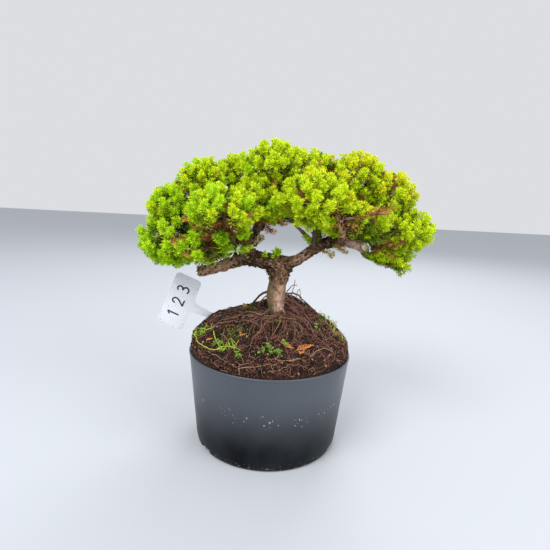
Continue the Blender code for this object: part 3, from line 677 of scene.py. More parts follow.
# Crumbs and fibres, broken and dried: dull, each of one brown, so that they part from the peat.
CLOD_DARK = Growth("peat_crumb_dark", "#0E0806", 0.95)
CLOD_BROWN = Growth("peat_crumb_brown", "#40281E", 0.95)
CLOD_RED = Growth("bark_crumb_red", "#7A4A38", 0.9)
CLOD_PALE = Growth("bark_crumb_pale", "#A88468", 0.9)
FIBRE_PINK = Growth("root_fibre_pink", "#8C5E50", 0.8)
FIBRE_TAN = Growth("dry_fibre_tan", "#A98A66", 0.8)
FIBRE_DARK = Growth("root_fibre_dark", "#2C1A13", 0.85)
BARK = Bark(
    "juniper_bark", "#7E5E42", 0.85,
    pale_places=(
        ((5, -9, 162), 25, 1), ((-60, -6, 190), 34, 0.9), ((30, -6, 208), 15, 0.6),
        ((86, -6, 224), 20, 1), ((32, -3, 231), 16, 0.7)),
    # Painted shadow in the hollows of the knots' scars.
    scar_shadow_places=(
        ((1.2, -9.6, 172.8), 2, 0.9), ((4.6, -9.6, 169.6), 1.8, 0.9),
        ((9.2, -9.4, 177), 2.4, 0.9), ((12, -8.6, 175.8), 2, 0.8)),
    # Painted shade down the trunk's left and right sides, in the olive tint.
    olive_shade_places=(
        ((-5, -6, 164), 10, 0.75), ((-3, -7, 176), 9, 0.7), ((-2, -8, 150), 10, 0.8),
        ((15, -6, 168), 6, 0.5)),
    # The two worn places on the right stub lie over each other: peeled pale wood, made paler still
    # as painted light where the crown shades it.
    worn_places=(
        ((9, -11, 150), 9.5, 1), ((8, -11, 161), 8.5, 1), ((10, -10, 172), 6.5, 0.7),
        ((30, -7, 207), 9, 0.45), ((-70, -8, 188), 22, 0.35), ((90, -5, 223), 17, 1),
        ((88, -8, 222), 16, 1)),
    # Painted shade: in the crotches, under the crown, in the knots and down the trunk's sides.
    dark_places=(
        ((2, -8, 197), 19, 0.55), ((-22, -8, 201), 20, 0.7), ((-9, -6, 178), 10, 0.6),
        ((62, -6, 225), 16, 0.5), ((76, -5, 218), 8, 0.5), ((3, -10.4, 171.5), 3.4, 1),
        ((9.5, -10, 177), 3.6, 0.9), ((15, -6, 158), 6, 0.6), ((20, -4, 150), 11, 0.9),
        ((-9, -4, 150), 8, 0.7), ((38.5, -20, 230.5), 13, 0.95), ((43, -9, 223), 7, 0.9)))
# Root bark, washed by rain: finer and pinker than the trunk's.
ROOT_BARK = Bark("juniper_root_bark", "#7C5546", 0.85, flake=2.0)
# The left cut is old and browned, the right one fresh and nearly white.
CUT_LEFT = CutWood("sawn_bough_left", "#A0744A", 0.8, centre=(-83.0, -3.0, 183.5))
CUT_RIGHT = CutWood("sawn_bough_right", "#FFF6CE", 0.8, centre=(98.0, -5.0, 219.0), ring="#F0E2AC")
# Bark flakes and twigs, weathered: matt browns that break up the skin below them.
FLAKE_DARK = Growth("bark_flake_dark", "#3A281B", 0.9)
FLAKE_TAN = Growth("bark_flake_tan", "#8A6648", 0.9)
FLAKE_PALE = Growth("bark_flake_pale", "#98805F", 0.9)
TWIG_BARK = Growth("twig_bark", "#6B4A32", 0.8)
YOUNG_STEM = Growth("young_stem", "#A8942A", 0.6)
TORN_BARK = Growth("torn_twig_bark", "#C49A78", 0.85)
# Small growth on the peat: fresh greens, the leaves with a little shine, the moss with none.
MOSS = Growth("cushion_moss", "#7E962A", 0.9)
SPROUT = Growth("seedling_leaf", "#8EBC48", 0.5)
GRASS = Growth("grass_blade", "#B2CE3C", 0.5)
LICHEN = Growth("lichen", "#A9A83A", 0.9)
# Shed sprays, dried: matt orange brown, the warmest spots on the mound.
FALLEN_SPRAY = Growth("fallen_dry_spray", "#CF8444", 0.8)
# Board, painted matt: plain and pale, so that nothing draws the eye off the plant.
BOARD = Finish("painted_board", "#BBBFC5", 0.7)


class Tone(Enum):
    """The needles' colours, each a plain finish that is dealt out by spray.

    Three hues by place, each in four steps from the tips inwards: a soft satin, yellower
    at the new tips. Which step a spray gets is dealt by how much light reaches it, so the
    steps are also lit and shaded copies: painted light and shade. Then DEEP and SHADE,
    painted shade for the inside, and dead needles, which are matt and brown.
    """

    GREEN_TIP = Growth("needles_green_tip", "#D0EE22", 0.55)
    GREEN_BRIGHT = Growth("needles_green_bright", "#BAE018", 0.55)
    GREEN_FRESH = Growth("needles_green_fresh", "#9EC810", 0.55)
    GREEN_MIDDLE = Growth("needles_green_middle", "#7CA40E", 0.55)
    LIME_TIP = Growth("needles_lime_tip", "#DCEE22", 0.55)
    LIME_BRIGHT = Growth("needles_lime_bright", "#C6DE16", 0.55)
    LIME_FRESH = Growth("needles_lime_fresh", "#A8C20E", 0.55)
    LIME_MIDDLE = Growth("needles_lime_middle", "#84A00C", 0.55)
    GOLD_TIP = Growth("needles_gold_tip", "#E8EC26", 0.55)
    GOLD_BRIGHT = Growth("needles_gold_bright", "#D2DC16", 0.55)
    GOLD_FRESH = Growth("needles_gold_fresh", "#B6C210", 0.55)
    GOLD_MIDDLE = Growth("needles_gold_middle", "#90A00C", 0.55)
    DEEP = Growth("needles_deep", "#587A0E", 0.6)
    SHADE = Growth("needles_shade", "#34480C", 0.65)
    BLUISH = Growth("needles_bluish", "#C8DCA4", 0.6)
    DRY = Growth("needles_dry", "#8C562A", 0.8)
    RUST = Growth("needles_rust", "#D29A50", 0.8)


# The inside's tones: painted shade.
INNER = (Tone.DEEP, Tone.SHADE)
HUES = tuple(tuple(Tone[f"{hue}_{step}"] for step in ("TIP", "BRIGHT", "FRESH", "MIDDLE")) + INNER
             for hue in ("GREEN", "LIME", "GOLD"))
DEAD = (Tone.DRY, Tone.RUST)


# ------------------------------------------------------------------------ pot


def lathe(profile: list[Plan], segments: int) -> bpy.types.Mesh:
    """Turn a profile about Z.

    Args:
        profile: radius and height of each point; the first and last lie on the axis.
        segments: how many steps the turn has.

    Returns:
        A closed mesh.
    """
    points = [(0.0, 0.0, profile[0][1]), (0.0, 0.0, profile[-1][1])]
    rings = profile[1:-1]
    for radius, height in rings:
        for step in range(segments):
            turn = math.tau * step / segments
            points.append((radius * math.cos(turn), radius * math.sin(turn), height))
    faces = []
    for step in range(segments):
        after = (step + 1) % segments
        faces.append((0, 2 + after, 2 + step))
        for ring in range(len(rings) - 1):
            low, high = 2 + ring * segments, 2 + (ring + 1) * segments
            faces.append((low + step, low + after, high + after, high + step))
        last = 2 + (len(rings) - 1) * segments
        faces.append((1, last + step, last + after))
    mesh = bpy.data.meshes.new("turned")
    mesh.from_pydata([tuple(value * MM for value in point) for point in points], [], faces)
    return mesh


def bead(centre: Plan, radius: float, start: float, stop: float, steps: int) -> list[Plan]:
    """Points of an arc in a profile.

    Args:
        centre: its middle.
        radius: its radius.
        start: its first angle, in degrees.
        stop: its last angle.
        steps: how many stretches it has.

    Returns:
        The points.
    """
    turns = [math.radians(start + (stop - start) * step / steps) for step in range(steps + 1)]
    return [(centre[0] + radius * math.cos(turn), centre[1] + radius * math.sin(turn))
            for turn in turns]


@dataclass
class Pot:
    """The round nursery pot: a tapered thin wall, a narrow lip and slots in its base corner."""

    rim_radius: float = 88.9
    base_radius: float = 78.2
    height: float = 101.4
    wall: float = 1.6
    floor: float = 2.4
    corner: float = 4.0
    lip: Span = (0.3, 2.0)  # how far it stands out, and how tall it is
    edge_round: float = 0.7
    heel: Span = (72.5, 6.0)  # inside: the floor's radius, and where the wall starts
    slots: int = 3
    slot_turn: float = math.radians(-23.5)
    slot_size: Spot = (12.0, 19.0, 7.0)
    slot_place: Span = (1.0, 2.2)
    segments: int = 160
    sharp_from: float = math.radians(32.0)  # flatter edges are shaded smooth

    def wall_radius(self, z: float) -> float:
        """The outer radius of the straight wall at a height."""
        flare = self.rim_radius - self.lip[0] - self.base_radius
        return self.base_radius + flare * z / self.height

    def profile(self) -> list[Plan]:
        """The wall's section.

        Returns:
            Its points, from the middle of the underside round to the middle of the floor.
        """
        stand, tall = self.lip
        edge, turn = self.wall_radius(self.height), self.edge_round
        outside = bead((self.base_radius - self.corner, self.corner), self.corner, -90.0, 0.0, 5)
        steps = [self.height * part / 12 for part in range(1, 12)]
        neck = self.height - tall - stand
        outside += [(self.wall_radius(z), z) for z in steps if self.corner < z < neck]
        outside += [(self.wall_radius(neck), neck), (edge + stand, self.height - tall)]
        outside += bead((edge + stand - turn, self.height - turn), turn, 0.0, 90.0, 4)
        inside = bead((edge - self.wall + turn, self.height - turn), turn, 90.0, 180.0, 4)
        steps = [z for z in reversed(steps) if z > self.heel[1]] + [self.heel[1]]
        inside += [(self.wall_radius(z) - self.wall, z) for z in steps]
        inside.append((self.heel[0], self.floor))
        return [(0.0, 0.0)] + outside + inside + [(0.0, self.floor)]

    def cut_slots(self, pot: bpy.types.Object) -> None:
        """Cut the drain slots through the base's corner.

        Args:
            pot: the pot, without its slots.
        """
        tools = bpy.data.collections.new("slot_cutters")
        inside, high = self.slot_place
        out = self.base_radius - inside
        for index in range(self.slots):
            turn = math.tau * index / self.slots + self.slot_turn
            bpy.ops.mesh.primitive_cube_add(size=1.0)
            slot = bpy.context.object
            slot.scale = Vector(self.slot_size) * MM
            slot.rotation_euler.z = turn
            slot.location = Vector((out * math.cos(turn), out * math.sin(turn), high)) * MM
            for home in list(slot.users_collection):
                home.objects.unlink(slot)
            tools.objects.link(slot)
        bpy.context.scene.collection.children.link(tools)
        cut = pot.modifiers.new("slots", "BOOLEAN")
        cut.operand_type = "COLLECTION"
        cut.collection = tools
        pot.data = finished_mesh(pot)
        pot.modifiers.clear()
        for slot in list(tools.objects):
            bpy.data.objects.remove(slot)
        bpy.data.collections.remove(tools)

    def build(self) -> None:
        """Make the pot and shade it smooth between its edges."""
        wall = lathe(self.profile(), self.segments)
        pot = place_piece("nursery_pot", wall, POT_PLASTIC, ("pot",))
        self.cut_slots(pot)
        pot.data.shade_smooth()
        pot.data.set_sharp_from_angle(angle=self.sharp_from)


# ---------------------------------------------------------------------- label


@dataclass
class Label:
    """The plant label: a rounded head on a tapering leg, with a plain number in marker."""

    centre: Spot = (-108.4, 25.0, 143.4)
    head: Span = (31.0, 64.0)
    corner: float = 4.5
    shoulder: float = 7.0
    leg: Spot = (46.0, 5.5, 1.6)
    thick: float = 1.0
    lean: float = math.radians(-22.0)
    edge: float = 0.15
    stroke: float = 0.95
    digit: Span = (9.0, 13.5)
    digit_gap: float = 6.6
    # The pen strokes of the number 123, each digit in a box one unit high.
    digits: tuple = (
        ((0.2, 0.78), (0.52, 1.0), (0.5, 0.5), (0.5, 0.0)),
        ((0.1, 0.74), (0.24, 0.96), (0.56, 1.0), (0.78, 0.8), (0.66, 0.52), (0.3, 0.22),
         (0.08, 0.02), (0.5, 0.04), (0.86, 0.0)),
        ((0.12, 0.9), (0.44, 1.02), (0.74, 0.84), (0.62, 0.6), (0.36, 0.54), (0.72, 0.44),
         (0.8, 0.2), (0.52, 0.0), (0.1, 0.08)))
    digit_drop: float = 1.0
    ink_flat: float = 0.1

    def outline(self) -> list[Plan]:
        """The edge of the label.

        Returns:
            Its points, the leg towards +X.
        """
        wide, tall = self.head[0] / 2 - self.edge, self.head[1] / 2 - self.edge
        leg, neck, point = self.leg[0], self.leg[1] - self.edge, self.leg[2] - self.edge
        half = [(wide + leg, point)]
        half += bead((wide + self.shoulder, neck + self.shoulder), self.shoulder, 270, 180, 10)
        half += bead((wide - self.corner, tall - self.corner), self.corner, 0, 90, 8)
        half += bead((-wide + self.corner, tall - self.corner), self.corner, 90, 180, 8)
        return half + [(x, -y) for x, y in reversed(half)]

    def place(self) -> Matrix:
        """Where the label stands.

        Returns:
            Its place: upright, facing the front, leaning over to the left.
        """
        upright = Matrix.Rotation(math.radians(90.0), 4, "X")
        leaning = Matrix.Rotation(self.lean, 4, "Z")
        return Matrix.Translation(Vector(self.centre) * MM) @ upright @ leaning

    def build(self) -> None:
        """Make the sheet, and the number as thin ink on its front."""
        curve = bpy.data.curves.new("label_outline", "CURVE")
        curve.dimensions = "2D"
        curve.fill_mode = "BOTH"
        curve.extrude = (self.thick / 2 - self.edge) * MM
        curve.bevel_depth = self.edge * MM
        curve.bevel_resolution = 2
        outline = self.outline()
        spline = curve.splines.new("POLY")
        spline.points.add(len(outline) - 1)
        for spot, (x, y) in zip(spline.points, outline):
            spot.co = (x * MM, y * MM, 0.0, 1.0)
        spline.use_cyclic_u = True
        shape = bpy.data.objects.new("label_outline", curve)
        bpy.context.scene.collection.objects.link(shape)
        mesh = finished_mesh(shape)
        bpy.data.objects.remove(shape)
        mesh.transform(self.place())
        place_piece("plant_label_sheet", mesh, LABEL_SHEET, ("plant_label",))
        mesh.set_sharp_from_angle(angle=math.radians(35.0))
        ink = Heap()
        wide, tall = self.digit
        pitch = wide + self.digit_gap
        for number, stroke in enumerate(self.digits):
            start = (number - 1) * pitch - wide / 2
            line = rounded([Vector((tall * (0.5 - y) - self.digit_drop, start + wide * x, 0.0))
                            for x, y in stroke], 5)
            points, faces = tube(line, [self.stroke] * len(line), 8)
            points[:, 2] = points[:, 2] * self.ink_flat + self.thick / 2
            ink.add((self.to_frame(points), faces))
        ink.place("label_number", LABEL_INK, "label_plastic")

    def to_frame(self, points: np.ndarray) -> np.ndarray:
        """Points of the label's own plane, in millimetres, where the label stands."""
        turn = np.array(self.place().to_3x3())
        return points @ turn.T + np.array(self.centre)


# ---------------------------------------------------------------------- mound


@dataclass(frozen=True)
class Run:
    """A root that shows on the mound: its places on the ground, its arch and its thickness."""

    spots: tuple[Plan, ...]
    arch: float
    radii: Span


@dataclass
class Mound:
    """The peat: a mound with crumbs, root fibres, moss, seedlings and dry scraps on it."""

    pot: Pot
    rise: float = 38.5  # the top's height over the rim
    below_rim: float = 1.5
    gap: float = 0.3
    # The edge's height over the rim, in eight directions round, and how far out it lies.
    shoulder: tuple[float, ...] = (16.0, 15.0, 15.0, 18.0, 19.0, 8.0, 8.0, 16.0)
    shoulder_radius: float = 82.0
    slope_power: Span = (1.5, 5.0)  # how sudden its fall is in front and behind
    back: Span = (-40.0, 30.0)  # the front ends at the first place, the back starts at the last
    hump: tuple[float, ...] = (18.0, 42.0, 14.0, 21.0)  # a rise behind: place, height and width
    bump: Spot = (1.4, 8.0, 9.5)  # a gentle roll: its height, and its length both ways
    flat: Span = (31.0, 44.0)  # level within the first distance of the trunk, free past the last
    foot: float = 6.0  # the trunk's place, across
    mat: tuple[float, ...] = (21.0, 5.0, 15.0, 9.0)  # the heap of roots: place, height and width
    wrap: float = 16.0
    margin: float = 2.0
    rings: int = 92
    segments: int = 340
    relief: tuple = ((9.0, 1.1), (3.6, 0.9), (1.7, 0.6))  # the width and height of its lumps
    crumbs: int = 7400
    crumb_kinds: tuple = ((CLOD_DARK, 0.38), (CLOD_BROWN, 0.38), (CLOD_RED, 0.17),
                          (CLOD_PALE, 0.07))
    crumb_size: Spot = (0.35, 1.25, 2.2)  # the least radius, what may be added, and how rarely
    fibres: int = 2300
    fibre_radius: Span = (0.16, 0.42)
    fans: int = 70
    fan_radius: Span = (0.25, 0.6)
    mat_fibres: int = 640
    mat_radius: Span = (0.2, 0.5)
    mat_free: float = 0.12  # the share that stands free
    surface_roots: int = 6
    root_radii: Span = (1.35, 0.45)
    root_turns: Span = (-160.0, 75.0)  # the directions that they spread over, in degrees
    root_reach: Span = (22.0, 76.0)
    moss_height: Span = (0.7, 2.2)
    blade_height: Span = (4.0, 10.0)
    blade_radii: tuple[float, ...] = (0.36, 0.34, 0.26, 0.08)
    leaf_length: Span = (2.0, 3.3)
    leaf_width: Span = (1.7, 2.5)
    # Cushions of moss: a place, how far they spread and their shoots.
    moss_patches: tuple = (
        (-38, -30, 14, 150), (-25, 22, 11, 150), (3, -20, 10, 170), (-76, -18, 8, 130),
        (66, 26, 12, 150), (76, -8, 12, 90), (-10, 60, 26, 200), (40, 62, 20, 160),
        (52, 0, 14, 60))
    # The thicker roots that show most.
    roots: tuple = (
        Run(((-62, -16), (-50, -17), (-36, -20), (-20, -27), (-8, -38)), 2.2, (1.2, 0.7)),
        Run(((-18, -30), (-14, -20), (-4, -8)), 2, (0.8, 0.7)),
        Run(((7, -8), (3, -18), (-3, -28)), 1.5, (3.8, 1.2)),
        Run(((14, -6), (24, -14), (38, -27), (54, -40), (64, -50)), 2.4, (1.3, 0.5)),
        Run(((12, -8), (18, -22), (27, -38), (32, -50)), 2.2, (1.1, 0.45)),
        Run(((9, -9), (14, -22), (13, -36), (19, -48)), 1.6, (0.8, 0.35)),
        Run(((2, -9), (-5, -20), (-17, -30), (-24, -44)), 1.2, (0.8, 0.35)),
        Run(((20, 0), (34, -8), (50, -22), (62, -26)), 2, (1, 0.4)),
        Run(((20, 8), (34, 14), (46, 12), (62, 14)), 4, (1, 0.4)),
        Run(((-4, 4), (-18, 10), (-34, 12), (-48, 6)), 3.2, (1.2, 0.6)))
    # Arching roots: the start, the point they bow towards, the end, and both radii.
    loops: tuple = (
        ((-1, 0, 165), (-12, 14, 165), (-24, 28, 142), (1.5, 1.1)),
        ((13, 0, 163), (24, 3, 167), (33, 2, 160), (1.1, 0.8)),
        ((30, 2, 161), (44, 6, 150), (52, 8, 140), (0.7, 0.45)),
        ((14, 2, 160), (20, 4, 176), (27, 6, 173), (0.6, 0.4)),
        ((20, 5, 158), (26, 6, 176), (24, 8, 179), (0.45, 0.3)),
        ((27, 4, 160), (30, 6, 178), (32, 6, 162), (0.4, 0.3)),
        ((12, -4, 158), (30, -4, 160), (40, -14, 140), (0.8, 0.4)),
        ((13, -3, 166), (22, -3, 164), (29, -6, 150), (0.7, 0.4)))
    # Seedlings: a place and how many stand round it.
    seedlings: tuple = (
        (-1, -61, 4), (5, -66, 5), (13, -57, 3), (-7, -63, 3), (12, -68, 3), (50, -20, 2),
        (60, 14, 2), (-48, -47, 3), (-58, -42, 3), (-30, -66, 4), (70, 6, 3), (-72, -24, 2),
        (64, 30, 3))
    # Runners of the creeping weed.
    runners: tuple = (
        ((-78, -30), (-66, -42), (-54, -50), (-42, -55)),
        ((-60, -24), (-56, -34), (-50, -46), (-44, -56)), ((-74, -14), (-66, -20), (-60, -18)),
        ((-54, -50), (-40, -52), (-28, -58)))
    # Grass: a strip, by its left end, length, front, spread and number of blades; then clumps,
    # each by its place across and spread, its place along and spread, and its number of blades.
    # Blades from number dry_from on are dry.
    grass_strip: tuple = (-50.0, 17.0, -54.0, (-4.0, 5.0), 16)
    grass_clumps: tuple = ((-74.0, 5.0, -20.0, 6.0, 14), (74.0, 7.0, 0.0, 12.0, 46))
    dry_from: int = 39
    # Dry scraps: a place, the way they point in radians and their length. Straws: places and arch.
    scraps: tuple = (
        (24, -58, 2.7, 15), (26, -60, 0.4, 19), (30, -64, 1.2, 11), (-31, -40, 0.9, 15),
        (-30, 24, 2, 9), (-34, 20, 1, 7), (-66, -36, 0.3, 7))
    straws: tuple = (
        (((38, -66), (46, -58), (54, -52), (66, -54)), 3), (((-30, -84), (-12, -80), (4, -76)), 1),
        (((-62, -48), (-52, -60), (-40, -72)), 0.6), (((6, -72), (20, -72), (36, -66)), 1))

    def shoulder_height(self, angle: float) -> float:
        """How far the mound's shoulder stands over the rim.

        Args:
            angle: the direction, in radians.

        Returns:
            The height.
        """
        place = (angle % math.tau) / math.tau * len(self.shoulder)
        low = int(place) % len(self.shoulder)
        part = smooth_step(place - int(place), 0.0, 1.0)
        after = (low + 1) % len(self.shoulder)
        return self.shoulder[low] * (1.0 - part) + self.shoulder[after] * part

    def height(self, x: float, y: float) -> float:
        """The height of the mound's plain form inside its shoulder.

        Args:
            x: across, from the pot's axis.
            y: along, from the pot's axis.

        Returns:
            The height over the floor.
        """
        radius = math.hypot(x, y)
        front, back = self.slope_power
        power = front + (back - front) * smooth_step(y, *self.back)
        fall = min(radius / self.shoulder_radius, 1.0) ** power
        height = self.rise * (1.0 - fall) + self.shoulder_height(math.atan2(y, x)) * fall
        hump_x, hump_y, hump, spread = self.hump
        height += hump * math.exp(-((x - hump_x) ** 2 + (y - hump_y) ** 2) / (2.0 * spread ** 2))
        bump, across, along = self.bump
        height += bump * math.sin(x / across + 0.8) * math.cos(y / along)
        loose = smooth_step(math.hypot(x - self.foot, y), *self.flat)
        mat_x, mat_y, mat, wide = self.mat
        mat *= math.exp(-((x - mat_x) ** 2 + (y - mat_y) ** 2) / (2.0 * wide ** 2))
        return self.pot.height + self.rise + (height - self.rise) * loose + mat

    def rough(self, x: float, y: float, z: float) -> float:
        """How far the crumbs and hollows lift or sink the surface at a place."""
        return sum(depth * noise.noise(Vector((x / size, y / size, z / size)))
                   for size, depth in self.relief)

    def at(self, x: float, y: float) -> Vector:
        """A point of the surface, from a place on its plan.

        Args:
            x: across, from the pot's axis.
            y: along, from the pot's axis. Beyond the shoulder the plan is wrapped down
                to the pot's wall.

        Returns:
            The point on the rough surface.
        """
        radius = math.hypot(x, y)
        if radius <= self.shoulder_radius:
            z = self.height(x, y)
            return Vector((x, y, z + self.rough(x, y, z)))
        part = min((radius - self.shoulder_radius) / self.wrap, 1.0)
        across, along = x / radius, y / radius
        low = self.pot.height - self.below_rim
        side = self.pot.wall_radius(low) - self.pot.wall - self.gap
        edge = self.height(self.shoulder_radius * across, self.shoulder_radius * along)
        out = self.shoulder_radius + (side - self.shoulder_radius) * math.sin(part * math.pi / 2)
        z = low + (edge - low) * math.cos(part * math.pi / 2)
        lump = self.rough(out * across, out * along, z)
        out = min(out + lump * math.sin(part * math.pi) * 0.8, side)
        return Vector((out * across, out * along, z + lump * math.cos(part * math.pi / 2)))

    def build_surface(self) -> None:
        """Make the mound: fine rings, wrapped over its shoulder and closed inside the pot."""
        reach = self.shoulder_radius + self.wrap
        points = [self.at(0.0, 0.0), Vector((0.0, 0.0, self.pot.floor + self.gap))]
        turns = [math.tau * step / self.segments for step in range(self.segments)]
        for ring in range(1, self.rings + 1):
            radius = reach * ring / self.rings
            points += [self.at(radius * math.cos(turn), radius * math.sin(turn)) for turn in turns]
        heel = self.pot.heel
        inset = self.pot.wall + self.gap
        for radius, z in ((self.pot.wall_radius(heel[1]) - inset, heel[1] + self.gap),
                          (heel[0] - self.gap, self.pot.floor + self.gap)):
            points += [Vector((radius * math.cos(turn), radius * math.sin(turn), z))
                       for turn in turns]
        faces = []
        last = len(points) - self.segments
        for step in range(self.segments):
            after = (step + 1) % self.segments
            faces.append((0, 2 + step, 2 + after))
            faces.append((1, last + after, last + step))
            for ring in range(2, last, self.segments):
                outer = ring + self.segments
                faces.append((ring + step, outer + step, outer + after, ring + after))
        mesh = bpy.data.meshes.new("peat_mound")
        mesh.from_pydata([tuple(point * MM) for point in points], [], faces)
        mesh.shade_smooth()
        place_piece("peat_mound", mesh, PEAT, ("soil",))

    def spot(self, rng: random.Random, inset: float = 0.0) -> Plan:
        """A chance place on the plan, even over its area, shoulder and all.

        Args:
            rng: the source of chance.
            inset: how far it keeps from the edge.

        Returns:
            The place.
        """
        reach = self.shoulder_radius + self.wrap - self.margin - inset
        radius, turn = reach * math.sqrt(rng.random()), rng.uniform(0.0, math.tau)
        return radius * math.cos(turn), radius * math.sin(turn)

    def build_crumbs(self, rng: random.Random) -> None:
        """Strew crumbs of peat and bark over the mound.

        Args:
            rng: the source of chance.
        """
        shapes = [self.crumb_shape(rng) for _ in range(6)]
        least, more, rarity = self.crumb_size
        for finish, share in self.crumb_kinds:
            heap = Heap()
            for shape, faces in shapes:
                count = round(self.crumbs * share / len(shapes))
                sizes = np.array([least + more * rng.random() ** rarity for _ in range(count)])
                roots = np.array([tuple(self.at(*self.spot(rng))) for _ in range(count)])
                ways = np.array([self.any_way(rng) for _ in range(count)])
                spins = np.array([rng.uniform(0.0, math.tau) for _ in range(count)])
                heap.add(stamp(shape, faces, roots, ways, spins, sizes))
            heap.place(f"crumbs_{finish.name}", finish, "soil")

    @staticmethod
    def any_way(rng: random.Random) -> Spot:
        """A chance direction, all as likely.

        Args:
            rng: the source of chance.

        Returns:
            The direction, of length 1.
        """
        rise, turn = rng.uniform(-0.999, 0.999), rng.uniform(0.0, math.tau)
        flat = math.sqrt(1.0 - rise * rise)
        return flat * math.cos(turn), flat * math.sin(turn), rise

    @staticmethod
    def crumb_shape(rng: random.Random) -> Shape:
        """An uneven crumb of twenty faces, about one millimetre in radius.

        Args:
            rng: the source of chance.

        Returns:
            Its points and triangles.
        """
        long = (1.0 + math.sqrt(5.0)) / 2.0
        corners = [(-1, long, 0), (1, long, 0), (-1, -long, 0), (1, -long, 0), (0, -1, long),
                   (0, 1, long), (0, -1, -long), (0, 1, -long), (long, 0, -1), (long, 0, 1),
                   (-long, 0, -1), (-long, 0, 1)]
        faces = [(0, 11, 5), (0, 5, 1), (0, 1, 7), (0, 7, 10), (0, 10, 11), (1, 5, 9), (5, 11, 4),
                 (11, 10, 2), (10, 7, 6), (7, 1, 8), (3, 9, 4), (3, 4, 2), (3, 2, 6), (3, 6, 8),
                 (3, 8, 9), (4, 9, 5), (2, 4, 11), (6, 2, 10), (8, 6, 7), (9, 8, 1)]
        points = np.array(corners, dtype=float) / math.hypot(1.0, long)
        points *= np.array([[rng.uniform(0.7, 1.25)] for _ in corners])
        squash = np.array((1.0, rng.uniform(0.6, 1.0), rng.uniform(0.5, 0.9)))
        return points * squash, np.array(faces)

    def lay(self, spots: list[Plan], arch: float, radii: Span, sides: int = 5) -> Shape:
        """A thin tube that lies on the ground, a little arched.

        Args:
            spots: its places, seen from above.
            arch: how far its middle stands over the ground.
            radii: its radius at the start and at the end.
            sides: how many sides it has.

        Returns:
            Its points and triangles.
        """
        path, widths = [], []
        for number, (x, y) in enumerate(spots):
            part = number / (len(spots) - 1)
            radius = radii[0] + (radii[1] - radii[0]) * part
            ground = self.at(x, y)
            out = (ground - Vector((0.0, 0.0, self.pot.height - 10.0))).normalized()
            path.append(ground + out * (radius * 0.4 + arch * math.sin(part * math.pi)))
            widths.append(radius)
        return tube(path, widths, sides)

    def wander(self, rng: random.Random, start: Plan, heading: float, steps: int,
               stride: float, stray: float) -> list[Plan]:
        """Places along a line that wanders over the plan and stays on it.

        Args:
            rng: the source of chance.
            start: its first place.
            heading: the way it sets out, in radians.
            steps: how many steps it takes at most.
            stride: how long each is.
            stray: how much the heading changes at each.

        Returns:
            The places.
        """
        x, y = start
        spots = [(x, y)]
        for _ in range(steps):
            heading += rng.gauss(0.0, stray)
            x, y = x + stride * math.cos(heading), y + stride * math.sin(heading)
            if math.hypot(x, y) > self.shoulder_radius + self.wrap - self.margin:
                break
            spots.append((x, y))
        return spots

    def build_fibres(self, rng: random.Random) -> None:
        """Cover the mound with fine root fibres, and fan more out from the trunk.

        Args:
            rng: the source of chance.
        """
        heaps = {FIBRE_PINK: Heap(), FIBRE_TAN: Heap(), FIBRE_DARK: Heap()}
        finishes = (FIBRE_PINK,) * 7 + (FIBRE_DARK,) * 5 + (FIBRE_TAN,)
        for _ in range(self.fibres):
            x, y = self.spot(rng)
            right = 0.35 + 0.65 * smooth_step(x + 0.3 * abs(y), -30.0, 20.0)
            if rng.random() > right:
                continue
            spots = self.wander(rng, (x, y), rng.uniform(0.0, math.tau), rng.randint(5, 10),
                                rng.uniform(0.9, 2.1), 0.55)
            if len(spots) < 4:
                continue
            thick = rng.uniform(*self.fibre_radius)
            heap = heaps[rng.choice(finishes)]
            heap.add(self.lay(spots, rng.uniform(0.2, 1.6), (thick, thick * 0.5), 3))
        for _ in range(self.fans):
            heading = rng.gauss(-0.5, 1.1)
            start = (self.foot + 7.0 * math.cos(heading), 7.0 * math.sin(heading))
            spots = self.wander(rng, start, heading, rng.randint(8, 20), 2.6, 0.3)
            thick = rng.uniform(*self.fan_radius)
            heap = heaps[rng.choice(finishes)]
            heap.add(self.lay(spots, rng.uniform(0.5, 4.0), (thick, thick * 0.4), 4))
        place_heaps(heaps, "fibres_{}", "soil")

    def build_mat(self, rng: random.Random) -> None:
        """Heap the thick mat of fine roots at the trunk's right, the odd end standing free.

        Args:
            rng: the source of chance.
        """
        heaps = {FIBRE_PINK: Heap(), FIBRE_DARK: Heap()}
        mat_x, mat_y, _, wide = self.mat
        for _ in range(self.mat_fibres):
            x, y = mat_x + rng.gauss(2.0, wide * 0.9), mat_y + rng.gauss(0.0, wide)
            point = self.at(x, y)
            heading = Vector(self.any_way(rng))
            free = rng.random() < self.mat_free
            path = [point]
            for _ in range(rng.randint(5, 9)):
                heading = (heading + Vector(self.any_way(rng)) * 0.7).normalized()
                point = point + heading * rng.uniform(1.0, 2.2)
                if not free:
                    ground = self.at(point.x, point.y)
                    point.z = min(max(point.z, ground.z + 0.2), ground.z + rng.uniform(1.0, 5.0))
                path.append(point.copy())
            thick = rng.uniform(*self.mat_radius)
            finish = FIBRE_PINK if rng.random() < 0.45 else FIBRE_DARK
            heaps[finish].add(tube(path, [thick] + [thick * 0.6] * (len(path) - 1), 3))
        place_heaps(heaps, "root_mat_{}", "soil")

    def build_loops(self) -> None:
        """Stand the few roots that arch clear of the mound beside the trunk."""
        heap = Heap()
        for *ends, radii in self.loops:
            first, middle, last = (Vector(end) for end in ends)
            path, widths = [], []
            for step in range(13):
                t = step / 12
                point = bowed(first, middle, last, t)
                shake = [noise.noise(point / 4.0 + UP * shift) for shift in (0.0, 31.7, 67.3)]
                path.append(point + Vector(shake) * 0.8)
                widths.append(radii[0] + (radii[1] - radii[0]) * step / 12)
            heap.add(tube(path, widths, 7))
        heap.place("arching_roots", ROOT_BARK, "root_bark")

